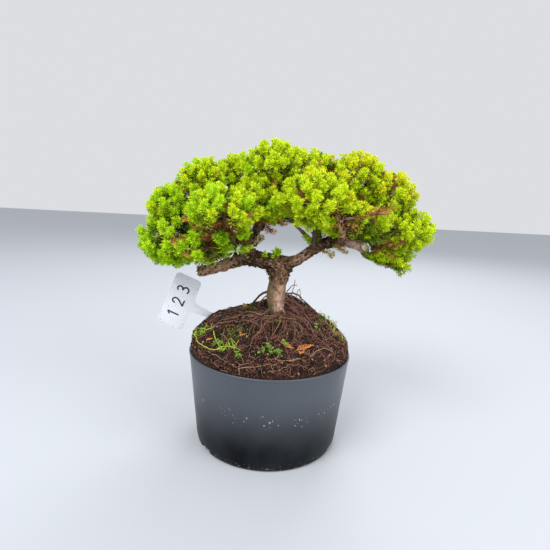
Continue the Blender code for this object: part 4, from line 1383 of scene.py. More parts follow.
    def build_roots(self) -> None:
        """Lay the thicker surface roots, and those that show most in front."""
        rng = random.Random(SEED + 1)
        heap = Heap()
        first, last = self.root_turns
        near, far = self.root_reach
        for index in range(self.surface_roots):
            place = index + rng.uniform(-0.2, 0.2)
            turn = math.radians(first + (last - first) * place / (self.surface_roots - 1))
            end = far - rng.uniform(0.0, 14.0)
            wander = rng.uniform(-0.35, 0.35)
            spots = []
            for step in range(22):
                part = step / 21
                angle = turn + wander * math.sin(part * 3.0) + 0.04 * math.sin(part * 17.0 + index)
                distance = near + (end - near) * part
                spots.append((self.foot * (1 - part) + distance * math.cos(angle),
                              distance * math.sin(angle)))
            heap.add(self.lay(spots, 0.6, self.root_radii, 8), f"surface_root_{index + 1}")
        for number, run in enumerate(self.roots):
            spots = rounded([np.array(spot) for spot in run.spots], 6)
            shaken = [(x + 0.7 * math.sin(step * 1.3 + number),
                       y + 0.7 * math.cos(step * 1.7 + number))
                      for step, (x, y) in enumerate(spots)]
            heap.add(self.lay(shaken, run.arch, run.radii, 7))
        heap.place("surface_roots", ROOT_BARK, "root_bark")

    def build_moss(self, rng: random.Random) -> None:
        """Grow moss in cushions, as many short shoots.

        Args:
            rng: the source of chance.
        """
        heap = Heap()
        for x, y, spread, count in self.moss_patches:
            for _ in range(count):
                root = self.at(x + rng.gauss(0.0, spread / 2), y + rng.gauss(0.0, spread / 2))
                way = Vector((rng.gauss(0.0, 0.4), rng.gauss(0.0, 0.4), 1.0)).normalized()
                tall = rng.uniform(*self.moss_height)
                heap.add(tube([root - way * 0.3, root + way * tall * 0.6, root + way * tall],
                              [0.36, 0.32, 0.08], 3))
        heap.place("moss_cushions", MOSS, "foliage")

    @staticmethod
    def leaf(root: Vector, way: Vector, long: float, wide: float) -> Shape:
        """A small folded leaf with some thickness.

        Args:
            root: where it starts.
            way: where it points.
            long: its length.
            wide: its width.

        Returns:
            Its points and triangles.
        """
        side = way.cross(UP).normalized() * wide / 2
        rib = root + way * long * 0.5 - UP * wide * 0.12
        tip = root + way * long
        left, right = root + way * long * 0.55 + side, root + way * long * 0.55 - side
        under = rib - UP * 0.15
        points = np.array([tuple(point) for point in (root, left, tip, right, rib, under)])
        faces = [(0, 4, 1), (1, 4, 2), (2, 4, 3), (3, 4, 0),
                 (0, 1, 5), (1, 2, 5), (2, 3, 5), (3, 0, 5)]
        return points, np.array(faces)

    def build_seedlings(self, rng: random.Random) -> None:
        """Grow the seedlings near the front rim and on the right, each a small rosette.

        Args:
            rng: the source of chance.
        """
        heap = Heap()
        for x, y, count in self.seedlings:
            for _ in range(count):
                root = self.at(x + rng.uniform(-4.0, 4.0), y + rng.uniform(-3.0, 3.0))
                top = root + Vector((rng.uniform(-1.0, 1.0), rng.uniform(-1.0, 1.0),
                                     rng.uniform(1.0, 5.0)))
                heap.add(tube([root, root.lerp(top, 0.6), top], [0.3, 0.28, 0.25], 4))
                turn = rng.uniform(0.0, math.tau)
                for number in range(rng.choice((6, 7, 8))):
                    angle = turn + number * GOLDEN
                    way = Vector((math.cos(angle), math.sin(angle), rng.uniform(-0.2, 1.0)))
                    long, wide = rng.uniform(*self.leaf_length), rng.uniform(*self.leaf_width)
                    heap.add(self.leaf(top, way.normalized(), long, wide))
        heap.place("seedlings", SPROUT, "foliage")

    def build_grass(self, rng: random.Random) -> None:
        """Grow the creeping weed at the front left, with its blades, and tufts on the right.

        Args:
            rng: the source of chance.
        """
        heap = Heap()
        for runner in self.runners:
            heap.add(self.lay(rounded([np.array(spot) for spot in runner], 5), 1.0, (0.5, 0.35)))
        left, long, front, across, count = self.grass_strip
        places = [(left + long * rng.random(), front + rng.uniform(*across))
                  for _ in range(count)]
        for x, wide, y, deep, count in self.grass_clumps:
            places += [(rng.gauss(x, wide), rng.gauss(y, deep)) for _ in range(count)]
        dry = Heap()
        for number, (x, y) in enumerate(places):
            root = self.at(x, y)
            lean = Vector((rng.gauss(0.0, 0.35), rng.gauss(-0.1, 0.3), 1.0)).normalized()
            tall = rng.uniform(*self.blade_height)
            droop = Vector((rng.gauss(0.0, 0.15), rng.gauss(0.0, 0.15), -0.1)) * tall
            path = [root, root + lean * tall * 0.35, root + lean * tall * 0.7 + droop * 0.4,
                    root + lean * tall + droop]
            (heap if number < self.dry_from else dry).add(tube(path, list(self.blade_radii), 4))
        heap.place("grass_blades", GRASS, "foliage")
        dry.place("dry_grass", FIBRE_TAN, "foliage")

    def build_scraps(self, rng: random.Random) -> None:
        """Drop dry scraps: flat forked sprays and straws.

        Args:
            rng: the source of chance.
        """
        heap = Heap()
        for x, y, facing, size in self.scraps:
            base = self.at(x, y) + UP * 1.0
            heading = Vector((math.cos(facing), math.sin(facing), 0.25)).normalized()
            side = heading.cross(UP).normalized()
            heap.add(tube([base, base + heading * size * 0.5, base + heading * size],
                          [0.5, 0.5, 0.2], 4))
            for number in range(12):
                root = base + heading * size * (0.06 + 0.075 * number)
                hand = 1.0 if number % 2 else -1.0
                way = heading * 0.75 + side * hand * 0.7 + UP * rng.uniform(0.0, 0.25)
                way.normalize()
                long = size * (0.5 - 0.03 * number)
                fork = root + way * long * 0.55
                heap.add(tube([root, fork, root + way * long], [0.4, 0.5, 0.12], 4))
                prong = (way + heading * 0.8).normalized() * long * 0.45
                heap.add(tube([fork, fork + prong], [0.5, 0.15], 4))
        heap.place("dry_scraps", FALLEN_SPRAY, "soil")
        straws = Heap()
        for spots, arch in self.straws:
            line = rounded([np.array(spot) for spot in spots], 5)
            straws.add(self.lay(line, arch, (0.34, 0.22)))
        straws.place("straws", FIBRE_TAN, "soil")

    def build(self) -> None:
        """Make the mound and everything on it."""
        rng = random.Random(SEED + 5)
        self.build_surface()
        self.build_crumbs(rng)
        self.build_fibres(rng)
        self.build_mat(rng)
        self.build_roots()
        self.build_loops()
        self.build_moss(rng)
        self.build_seedlings(rng)
        self.build_grass(rng)
        self.build_scraps(rng)


# ----------------------------------------------------------------- the boughs


@dataclass(frozen=True)
class Limb:
    """A tapering limb: where it leaves its parent, its end, its sideways bend and its radii."""

    parent: str
    leaves_at: float
    end: Spot
    bend: Spot
    radii: Span


@dataclass(frozen=True)
class Mass:
    """A mass of foliage: its middle, its radii, and the limb its own bough grows from."""

    centre: Spot
    radii: Spot
    parent: str
    leaves_at: float
    bough: Span = (2.6, 1.5)

    def depth(self, point: Vector) -> float:
        """How far out a point is: 0 in the middle, 1 at the outside."""
        return math.sqrt(sum(((a - b) / radius) ** 2
                             for a, b, radius in zip(point, self.centre, self.radii)))

    def rim(self, way: Vector) -> float:
        """How far the outside is from the middle, along a direction of length 1."""
        return 1.0 / math.sqrt(sum((a / r) ** 2 for a, r in zip(way, self.radii)))


GROUND = 140.2
TRUNK_STEM = (
    ((6.6, 0, 128), 8.4), ((6.6, 0, 141), 8.8), ((5.8, 0, 149), 9.4), ((4.3, 0, 159), 10.3),
    ((4.3, 0, 168), 10.3), ((5.4, 0, 175.5), 9.6), ((6.6, 0, 182.5), 10.5),
    ((5.3, 0, 191.5), 11.3), ((2, 0, 199), 9.6), ((-0.5, 0, 201), 5.6))
# Roots in the flare: the way they run in degrees, their reach, their top and their radius there.
FLARE_ROOTS = (
    (168, 25, 166, 2), (212, 19, 148, 2), (258, 14, 146, 2.6), (304, 20, 151, 2.1),
    (340, 24, 158, 2), (12, 24, 164, 2.2), (52, 23, 160, 2.5), (108, 19, 154, 2.6))

LIMBS = {
    "bough_left": Limb("trunk", 0.88, (-33, 0, 202.6), (0, 0, 0.5), (8.6, 8)),
    "bough_right": Limb("trunk", 0.82, (38, 0, 212), (2, 0, -2), (6.4, 5.2)),
    "bough_right_outer": Limb("bough_right", 1, (67.5, 1, 225.6), (0, 0, 2), (5.2, 5.7)),
    "stub_left": Limb("bough_left", 0.94, (-83, -3, 183.5), (-2, 0, -2), (6.9, 5)),
    "stub_right": Limb("bough_right_outer", 0.96, (99, -4, 218.6), (0, 0, 2), (5.1, 4.5)),
    "riser_left": Limb("bough_left", 0.93, (-14, 3, 239), (-5, 0, 1), (6.2, 4.4)),
    "riser_right": Limb("bough_right_outer", 0.97, (71, 0, 253), (-3, 0, 0), (3.4, 2.8)),
    "arm_left": Limb("bough_left", 0.97, (-70, 17, 222), (0, 5, -3), (5.2, 4)),
    "arm_right": Limb("bough_right_outer", 0.98, (108, 12, 236), (0, 4, -2), (4, 3)),
    "arm_rear": Limb("bough_right_outer", 0.30, (50, 42, 241), (0, 2, -4), (4.2, 3.4)),
    "cross_branch": Limb("bough_right_outer", 0.33, (17.5, -1, 244), (0, 0, -1.2), (2.6, 1.8)),
}

MASSES = {
    "foliage_left_low": Mass((-110, 2, 219), (40, 41, 32.5), "arm_left", 0.95),
    "foliage_left_under": Mass((-70, -18, 214), (35, 29, 23), "arm_left", 0.25),
    "foliage_left_mid": Mass((-110, 12, 256), (32, 39, 26), "arm_left", 0.90),
    "foliage_left_top": Mass((-78, 15, 280.5), (33, 37, 28), "arm_left", 0.70),
    "foliage_left_front": Mass((-49, -41, 250), (41, 36, 32), "bough_left", 0.90),
    "foliage_crown_left": Mass((-43, 32, 290), (30, 35, 27), "riser_left", 0.90),
    "foliage_crown_top": Mass((-2, 4, 300), (39, 41, 30), "riser_left", 1),
    "foliage_crown_right": Mass((35, 19, 297), (33, 37, 28), "arm_rear", 0.80),
    "foliage_centre": Mass((-17, -11, 264), (34, 35, 27), "riser_left", 0.80),
    "foliage_right_front": Mass((38, -40, 267), (41, 36, 32), "bough_right_outer", 0.12),
    "foliage_right_top": Mass((83, 2, 292), (35, 41, 30), "riser_right", 1),
    "foliage_right_out": Mass((119, 8, 277.5), (31, 39, 26), "arm_right", 0.85),
    "foliage_right_low": Mass((137, 4, 241), (36, 39, 26), "arm_right", 1),
    "foliage_right_trail": Mass((126.5, -8, 206), (25, 13, 12), "stub_right", 0.80, (1.8, 1.2)),
    "foliage_right_mid": Mass((79, -26, 247), (39, 31, 24), "bough_right_outer", 0.80),
    "foliage_rear_left": Mass((-62, 63, 257), (47, 39, 33), "arm_left", 0.45),
    "foliage_rear_centre": Mass((2, 70, 270), (43, 39, 34), "arm_rear", 1),
    "foliage_rear_right": Mass((74, 59, 261), (47, 41, 33), "arm_rear", 0.90),
}


@dataclass
class Skeleton:
    """The routes of all limbs, and how far any point is from them."""

    limb_step: float = 12.0
    droop: float = 0.35  # how far under its mass's middle a bough comes in
    pull: float = 0.5
    tip_depth: float = 0.88  # how far out in the mass it ends
    sample_step: float = 1.5
    routes: dict[str, tuple[list[Vector], list[float]]] = field(default_factory=dict)
    widths: list[float] = field(default_factory=list)
    spots: list[Vector] = field(default_factory=list)
    ways: list[Vector] = field(default_factory=list)
    along: list[float] = field(default_factory=list)

    def __post_init__(self) -> None:
        """Work out every route from the limbs' and masses' own sizes."""
        self.routes["trunk"] = ([Vector(point) for point, _ in TRUNK_STEM],
                                [width for _, width in TRUNK_STEM])
        for name, limb in LIMBS.items():
            start, _ = self.at(limb.parent, limb.leaves_at)
            end = Vector(limb.end)
            self.add(name, start, (start + end) / 2 + Vector(limb.bend) * 2, end, limb.radii)
        for name, mass in MASSES.items():
            start, _ = self.at(mass.parent, mass.leaves_at)
            centre = Vector(mass.centre)
            way = (start - centre).normalized() - Vector((0.0, 0.0, self.droop))
            length = way.length
            tip = centre + way * (self.tip_depth * mass.rim(way / length) / length)
            inward = (centre - tip).normalized()
            self.add(name.replace("foliage_", "bough_to_"), start,
                     tip - inward * (tip - start).length * self.pull, tip, mass.bough)
        self.index()

    def at(self, name: str, part: float) -> tuple[Vector, float]:
        """A place on a limb.

        Args:
            name: the limb.
            part: how far along it, from 0 to 1.

        Returns:
            The point and the limb's radius there.
        """
        points, radii = self.routes[name]
        place = part * (len(points) - 1)
        low = min(int(place), len(points) - 2)
        rest = place - low
        radius = radii[low] + (radii[low + 1] - radii[low]) * rest
        return points[low].lerp(points[low + 1], rest), radius

    def add(self, name: str, start: Vector, control: Vector, end: Vector, radii: Span) -> None:
        """Add a curved, evenly tapering route.

        Args:
            name: the limb.
            start: where it leaves its parent.
            control: the point that it bows towards.
            end: its tip.
            radii: its radius at the start and at the tip.
        """
        count = max(4, round((end - start).length / self.limb_step) + 1)
        parts = [number / (count - 1) for number in range(count)]
        points = [bowed(start, control, end, t) for t in parts]
        self.routes[name] = (points, [radii[0] + (radii[1] - radii[0]) * t for t in parts])

    def index(self) -> None:
        """Gather closely spaced samples of every limb for distance tests."""
        for points, radii in self.routes.values():
            run = 0.0
            for low in range(len(points) - 1):
                stretch = points[low + 1] - points[low]
                steps = max(2, round(stretch.length / self.sample_step))
                for step in range(steps):
                    part = step / steps
                    self.spots.append(points[low].lerp(points[low + 1], part))
                    self.widths.append(radii[low] + (radii[low + 1] - radii[low]) * part)
                    self.ways.append(stretch.normalized())
                    self.along.append(run + stretch.length * part)
                run += stretch.length
        self.tree = KDTree(len(self.spots))
        for number, point in enumerate(self.spots):
            self.tree.insert(point, number)
        self.tree.balance()
        self.widest = max(self.widths)

    def clear_of(self, point: Vector, clearance: float) -> bool:
        """Whether a point keeps a clearance to every limb."""
        return all(distance >= self.widths[number] + clearance for _, number, distance
                   in self.tree.find_range(point, self.widest + clearance))


@dataclass
class Wood:
    """The trunk and boughs as one grown body, with the bark's relief on it."""

    skeleton: Skeleton
    voxel: float = 0.8
    heart: float = 6.0  # the flare's middle, across
    flare_tip: float = 1.3
    flare_slim: float = 0.55
    # Swellings and hollows: a place, a radius and a height.
    knots: tuple = (
        ((-32, -4, 203), 8, 1.8), ((-38, -2, 197), 6, 1.2), ((15.5, -2, 192), 5, 1.8),
        ((68, -3, 227), 8, 1.6), ((46, -4, 214), 6, 1), ((-7, -2, 192), 6, 1.6),
        ((3.8, -9.8, 171.4), 2.6, 1.5), ((3.8, -10.5, 171.4), 1.1, -1.8), ((8, -9, 176), 2.2, -1),
        ((-51, -4, 186), 3, 1.5), ((-9, -4, 188), 3.5, 2.2), ((-12, -2, 193), 2.5, 1.6),
        ((18, -2, 194.5), 2.6, 2), ((-7, -2, 182), 2.5, 1.4), ((14, -6, 180), 3, 1.2),
        ((17, -3, 190), 4, 1.2), ((7, 0, 206), 8, 0.9), ((13, 0, 204), 6, 1.6),
        ((80, -4, 218), 8, 1), ((92, -5, 217), 8, 1.4))
    # The bark's ridges: their length, width and height; then its plates, in the same way.
    ridges: tuple = ((8.0, 2.4, 0.6), (3.4, 1.1, 0.4))
    plate: Spot = (7.0, 3.2, 0.7)
    smooth_below: Span = (176.0, 190.0)
    flakes: int = 2100
    flake_long: Span = (2.0, 5.0)
    flake_wide: Span = (0.8, 1.9)
    flake_squash: float = 0.78  # the share of a flake's thickness that is taken off
    flake_bough: float = 2.4  # no flakes on thinner boughs
    flake_shades: Span = (0.42, 0.85)  # below the first a flake is dark, above the second pale
    # Places where the bark is torn and stands off: a middle and a radius.
    ragged: tuple = (
        ((-6, 0, 190), 12), ((15, 0, 194), 9), ((-26, 0, 203), 12), ((60, 0, 224), 14))
    lichens: tuple = (((-28, -9, 203.5), 1.9), ((-50.5, -3, 189), 1.9), ((-30, -8.5, 206), 1.0))
    # The peeled end of the right bough has no flakes.
    bare_after: float = 76.0
    bare_across: Span = (-18.0, 7.0)
    bare_below: float = 232.0
    stub_from: float = -42.0
    right_cut: Spot = (0.56, -0.82, 0.06)
    left_cut: Spot = (-0.88, -0.42, -0.22)
    cut_back: float = 1.5
    cut_reach: float = 7.5
    cut_swell: float = 0.5
    cut_rings: int = 6
    cut_spokes: int = 26

    def body(self) -> bpy.types.Mesh:
        """Join all limbs and flare roots into one closed skin.

        Returns:
            The smooth skin, in metres.
        """
        heap = Heap()
        for name, (points, radii) in self.skeleton.routes.items():
            line, widths = self.refine(points, radii)
            heap.add(tube(line, widths, 20 if radii[0] > 3.0 else 10), name)
        for way, reach, high, radius in FLARE_ROOTS:
            turn = math.radians(way)
            out = Vector((math.cos(turn), math.sin(turn), 0.0))
            heart = Vector((self.heart, 0.0, high))
            foot = Vector((self.heart, 0.0, GROUND)) + out * reach
            knee = heart + out * reach * 0.6 + Vector((0.0, 0.0, (GROUND - high) * 0.3))
            slim = radius * self.flare_slim
            line, widths = self.refine([heart, knee, foot, foot + out * 5.0 - UP * 4.0],
                                       [slim * 1.3, slim, self.flare_tip * self.flare_slim, 0.8])
            heap.add(tube(line, widths, 12), "trunk")
        starts = np.cumsum([0] + [len(points) for points, _, _ in heap.chunks])
        points = np.vstack([points for points, _, _ in heap.chunks])
        faces = np.vstack([faces + start for (_, faces, _), start in zip(heap.chunks, starts)])
        rough = bpy.data.objects.new("limbs", mesh_of("limbs", points, faces))
        bpy.context.scene.collection.objects.link(rough)
        skin = rough.modifiers.new("skin", "REMESH")
        skin.mode = "VOXEL"
        skin.voxel_size = self.voxel * MM
        soft = rough.modifiers.new("soft", "SMOOTH")
        soft.iterations = 3
        mesh = finished_mesh(rough)
        bpy.data.objects.remove(rough)
        return mesh

    @staticmethod
    def refine(points: list[Vector], radii: list[float]) -> tuple[list[Vector], list[float]]:
        """Make a route finer and smoother.

        Args:
            points: its points.
            radii: its radius at each.

        Returns:
            The new points and radii.
        """
        wide = [low + (high - low) * (step / 4) for low, high in zip(radii, radii[1:])
                for step in range(4)]
        return rounded(points, 4), wide + [radii[-1]]

    def relief(self, point: Vector) -> float:
        """How far the bark stands out or in at a point of the skin.

        Args:
            point: a point of the smooth skin.

        Returns:
            The height of ridges, plates and knots there.
        """
        _, number, _ = self.skeleton.tree.find(point)
        centre, way = self.skeleton.spots[number], self.skeleton.ways[number]
        width, run = self.skeleton.widths[number], self.skeleton.along[number]
        out = point - centre
        out = (out - way * out.dot(way)).normalized() * width
        lift = 0.0
        for long, across, depth in self.ridges:
            place = out / across + way * (run / long)
            lift += depth * noise.noise(place + Vector((0.3, 3.1, 1.7)))
        long, across, depth = self.plate
        plate = noise.noise(out / across + way * (run / long) + Vector((5.2, 1.3, 9.1)))
        lift += depth * (smooth_step(plate, -0.02, 0.08) - 0.5)
        rough = 0.45 + 0.55 * smooth_step(point.z, *self.smooth_below)
        # Thin limbs and the trunk's foot have less relief.
        lift *= (min(1.0, width / 5.0) + 0.2) * rough
        for spot, radius, height in self.knots:
            away = (point - Vector(spot)).length
            lift += height * math.exp(-(away / radius) ** 2 * 1.5)
        return lift

    def build_flakes(self, places: np.ndarray, normals: np.ndarray) -> None:
        """Stick loose bark flakes on the trunk's top and the boughs, their ends lifting.

        Args:
            places: the skin's points.
            normals: the way the skin faces at each.
        """
        rng = random.Random(SEED + 3)
        heaps = {FLAKE_DARK: Heap(), FLAKE_TAN: Heap(), FLAKE_PALE: Heap()}
        laid = 0
        while laid < self.flakes:
            spot = rng.randrange(len(places))
            root, out = Vector(places[spot]), Vector(normals[spot])
            _, number, _ = self.skeleton.tree.find(root)
            # Torn places have more flakes, and they are longer, darker and stand off further.
            torn = any((root - Vector(centre)).length < reach for centre, reach in self.ragged)
            front, rear = self.bare_across
            bare = (root.x > self.bare_after and front < root.y < rear
                    and root.z < self.bare_below)
            if (self.skeleton.widths[number] < self.flake_bough or bare
                    or root.z < self.smooth_below[0] + 4.0
                    or rng.random() > (1.0 if torn else 0.45)):
                continue
            laid += 1
            way = self.skeleton.ways[number]
            tilt = (way * rng.choice((-1.0, 1.0)) + out * rng.uniform(0.0, 0.24 + 0.6 * torn)
                    + way.cross(out) * rng.gauss(0.0, 0.45)).normalized()
            long = rng.uniform(*self.flake_long) + 1.5 * torn
            wide = rng.uniform(*self.flake_wide)
            tip = root + tilt * long * 0.5 + out * 0.2
            points, faces = tube([root - tilt * long * 0.4, root, tip],
                                 [wide * 0.6, wide, wide * 0.3], 5)
            middle, flat = np.array(root), np.array((out - tilt * out.dot(tilt)).normalized())
            points = points - self.flake_squash * np.outer((points - middle) @ flat, flat)
            # Flakes that face downwards are dealt darker colours: painted shade.
            shade = (rng.random() - 0.25 * torn - 0.3 * (out.z < -0.3)
                     + 0.32 * (root.x < self.stub_from))
            dark, pale = self.flake_shades
            finish = FLAKE_DARK if shade < dark else FLAKE_TAN if shade < pale else FLAKE_PALE
            heaps[finish].add((points, faces))
        place_heaps(heaps, "{}s", "bark")

    def build_lichen(self) -> None:
        """Put the lichen spots on the left bough."""
        rng = random.Random(SEED + 4)
        heap = Heap()
        for spot, radius in self.lichens:
            shape, faces = Mound.crumb_shape(rng)
            heap.add((shape * radius + np.array(spot), faces))
        heap.place("lichen_spots", LICHEN, "bark")

    def build(self) -> None:
        """Make the skin, raise its relief and close the sawn ends."""
        mesh = self.body()
        mesh.update()
        count = len(mesh.vertices)
        places = np.empty(count * 3, dtype=np.float32)
        normals = np.empty(count * 3, dtype=np.float32)
        mesh.vertices.foreach_get("co", places)
        mesh.vertex_normals.foreach_get("vector", normals)
        places, normals = places.reshape(-1, 3) / MM, normals.reshape(-1, 3)
        lifts = np.array([self.relief(Vector(point)) for point in places.tolist()])
        places += normals * lifts[:, None]
        for name, normal in (("stub_left", self.left_cut), ("stub_right", self.right_cut)):
            places = self.saw(places, name, normal)
        mesh.vertices.foreach_set("co", (places * MM).astype(np.float32).ravel())
        mesh.update()
        mesh.shade_smooth()
        names = tuple(self.skeleton.routes)
        place_piece("trunk_and_boughs", mesh, BARK, names)
        self.sawn_end("sawn_end_left", "stub_left", self.left_cut, CUT_LEFT)
        self.sawn_end("sawn_end_right", "stub_right", self.right_cut, CUT_RIGHT)
        self.build_flakes(places, normals)
        self.build_lichen()

    def cut_plane(self, name: str, normal: Spot) -> tuple[Vector, Vector, Vector]:
        """The plane that a bough is sawn on.

        Args:
            name: the bough.
            normal: the way the cut faces.

        Returns:
            A point of the plane, its normal, and the way the bough runs.
        """
        points, _ = self.skeleton.routes[name]
        way = (points[-1] - points[-2]).normalized()
        return points[-1] - way * self.cut_back, Vector(normal).normalized(), way

    def saw(self, places: np.ndarray, name: str, normal: Spot) -> np.ndarray:
        """Move the skin beyond a bough's cut back onto the plane of the cut.

        Args:
            places: the skin's points.
            name: the bough.
            normal: the way the cut faces.

        Returns:
            The points with the end cut flat.
        """
        centre, facing, way = self.cut_plane(name, normal)
        away = places - np.array(centre)
        beyond, along = away @ np.array(facing), away @ np.array(way)
        near = np.linalg.norm(away - np.outer(along, np.array(way)), axis=1) < self.cut_reach
        beyond[(beyond < 0.0) | ~near | (np.abs(along) > 2.0 * self.cut_reach)] = 0.0
        return places - np.outer(beyond / facing.dot(way), np.array(way))

    def sawn_end(self, title: str, name: str, normal: Spot, finish: Finish) -> None:
        """Cap a cut bough with its bare wood, a little uneven.

        Args:
            title: the piece's name.
            name: the bough.
            normal: the way the cut faces.
            finish: the wood's finish.
        """
        centre, facing, way = self.cut_plane(name, normal)
        radius = self.skeleton.routes[name][1][-1]
        side = way.orthogonal().normalized()
        other = way.cross(side)
        rings, spokes = self.cut_rings, self.cut_spokes
        places = [centre + facing * self.cut_swell]
        for ring in range(1, rings + 1):
            for spoke in range(spokes):
                turn = math.tau * spoke / spokes
                wave = 1.0 + 0.06 * math.sin(turn * 3.0 + 0.7)
                out = side * math.cos(turn) + other * math.sin(turn)
                out = out * radius * 0.95 * ring / rings * wave
                rise = self.cut_swell * (1.0 - 1.8 * (ring / rings) ** 4)
                slide = way * (out.dot(facing) / way.dot(facing))
                places.append(centre + out - slide + facing * rise)
        faces = []
        for spoke in range(spokes):
            after = (spoke + 1) % spokes
            faces.append((0, 1 + spoke, 1 + after))
            for ring in range(rings - 1):
                low, high = 1 + ring * spokes, 1 + (ring + 1) * spokes
                faces += [(low + spoke, high + spoke, high + after),
                          (low + spoke, high + after, low + after)]
        mesh = mesh_of(title, np.array([tuple(place) for place in places]), np.array(faces))
        mesh.shade_smooth()
        place_piece(title, mesh, finish)


# ------------------------------------------------------------------ the crown


@dataclass(frozen=True)
class ShootPattern:
    """How a shoot carries its needles: whorls that close towards its tip."""

    length: float
    whorls: int
    needle: Span  # a needle's length at the foot and at the tip
    lean: Span  # how far it leans out there, in degrees
    around: int = 3  # needles in a whorl
    end_needles: int = 5
    width: float = 1.0  # a needle's width, wide enough to show
    keep: float = 1.0  # the share that hasn't dropped
    flat: bool = False
    whorl_turn: float = 1.05  # from one whorl to the next, in radians
    turn_stray: float = 0.25
    lean_stray: float = 8.0
    long_stray: Span = (0.85, 1.12)
    tone_edge: Span = (0.4, 0.3)  # where the upper tone starts, and how ragged that edge is

    def needle_shape(self, root: Vector, way: Vector, long: float, out: Vector) -> list[tuple]:
        """A folded needle.

        Args:
            root: where it starts.
            way: where it points.
            long: its length.
            out: away from the shoot's stem.

        Returns:
            Its four corners: the root, one side, the tip and the other side.
        """
        side = way.cross(out)
        side = (side if side.length > 0.01 else way.orthogonal()).normalized() * self.width / 2
        lift = side.cross(way).normalized() * self.width * 0.25
        middle = root + way * long * 0.4 + lift
        tip = root + way * long + UP * 0.4
        return [tuple(root), tuple(middle + side), tuple(tip), tuple(middle - side)]

    def make(self, rng: random.Random) -> list[tuple[np.ndarray, np.ndarray]]:
        """The shoot's lower and upper needles, growing along +Z.

        Args:
            rng: the source of small differences.

        Returns:
            Points and triangles of the lower part, then of the upper part.
        """
        parts: list[list[tuple]] = [[], []]
        top = self.length - self.needle[1] * 0.8
        for whorl in range(self.whorls):
            part = whorl / (self.whorls - 1)
            for number in range(self.around):
                if rng.random() > self.keep:
                    continue
                step = number * math.tau / self.around + whorl * self.whorl_turn
                turn = math.pi * number if self.flat else step
                turn += rng.uniform(-self.turn_stray, self.turn_stray)
                out = Vector((math.cos(turn), math.sin(turn), 0.0))
                low, high = self.lean
                stray = rng.uniform(-self.lean_stray, self.lean_stray)
                lean = math.radians(low + (high - low) * part + stray)
                way = out * math.sin(lean) + UP * math.cos(lean)
                first, last = self.needle
                long = (first + (last - first) * part) * rng.uniform(*self.long_stray)
                edge, ragged = self.tone_edge
                upper = part + rng.uniform(-ragged, ragged) > edge
                root = UP * (0.4 + part * (top - 0.4)) + out * 0.3
                parts[upper] += self.needle_shape(root, way, long, out)
        for number in range(self.end_needles):
            turn = number * math.tau / self.end_needles + 0.5
            out = Vector((math.cos(turn), math.sin(turn), 0.0))
            way = (out * 0.42 + UP).normalized()
            parts[1] += self.needle_shape(UP * top + out * 0.2, way, self.needle[1] * 0.85, out)
        shapes = []
        for corners in parts:
            starts = np.arange(0, len(corners), 4)[:, None, None]
            faces = (np.array([[(0, 1, 2), (0, 2, 3)]]) + starts).reshape(-1, 3)
            shapes.append((np.array(corners), faces))
        return shapes


class Habit(Enum):
    """The kinds of shoot, each with several patterns of its own."""

    TIP = (ShootPattern(8.0, 4, (4.2, 3.5), (62.0, 34.0), 3, 5, 1.2),) * 6
    LEADER = (ShootPattern(14.0, 9, (5.0, 3.6), (70.0, 36.0), 3, 4),) * 3
    COMB = (ShootPattern(19.0, 8, (6.0, 5.6), (82.0, 66.0), 3, 2, 1.1),) * 4
    FROND = (ShootPattern(20.0, 13, (6.2, 4.2), (80.0, 50.0), 2, 3, flat=True),) * 2
    BARE = (ShootPattern(13.0, 10, (5.2, 4.2), (74.0, 46.0), keep=0.75),) * 2
    PLUME = (ShootPattern(10.0, 6, (5.2, 4.2), (60.0, 34.0), 3, 3, 0.9, 0.85),) * 3
    OPEN = (ShootPattern(9.0, 5, (5.4, 4.2), (64.0, 36.0), 3, 4, 1.3),) * 4
    LEAFY = (ShootPattern(9.0, 2, (7.0, 6.5), (66.0, 40.0), 2, 3, 1.7),) * 2
    SPROUT = (ShootPattern(6.0, 2, (7.0, 6.0), (68.0, 34.0), 3, 2, 3.4),) * 3


@dataclass
class Shoots:
    """Shoots waiting to be stamped: where they grow, how, and in which colours."""

    rows: dict = field(default_factory=dict)

    def add(self, pattern: int, tones: tuple[Tone, Tone], root: Vector, way: Vector, size: float,
            spin: float, bend: Vector) -> None:
        """Add one shoot."""
        self.rows.setdefault((pattern, tones), []).append((*root, *way, spin, size, *bend))


@dataclass(frozen=True)
class Gap:
    """A place that the foliage leaves open: a line, the reach round it, the share left out."""

    start: Spot
    end: Spot
    radius: float
    share: float = 1.0

    def holds(self, point: Vector) -> bool:
        """Whether a point lies in the gap.

        Args:
            point: the point.

        Returns:
            True where it does.
        """
        start, run = Vector(self.start), Vector(self.end) - Vector(self.start)
        part = min(max((point - start).dot(run) / run.length_squared, 0.0), 1.0)
        return (point - start - run * part).length < self.radius


@dataclass(frozen=True)
class Tuft:
    """A branchlet that shows by itself: its top, the way it points and its length."""

    top: Spot
    aim: Spot
    length: float = 22.0
    size: float = 1.0


@dataclass(frozen=True)
class Sprig:
    """A spray that shows by itself: its stem's ends, its needles' tones, and its shoots."""

    start: Spot
    end: Spot
    tones: tuple[Tone, Tone]
    shoot: float = 9.0
    shoots: int = 9
    habit: Habit = Habit.BARE


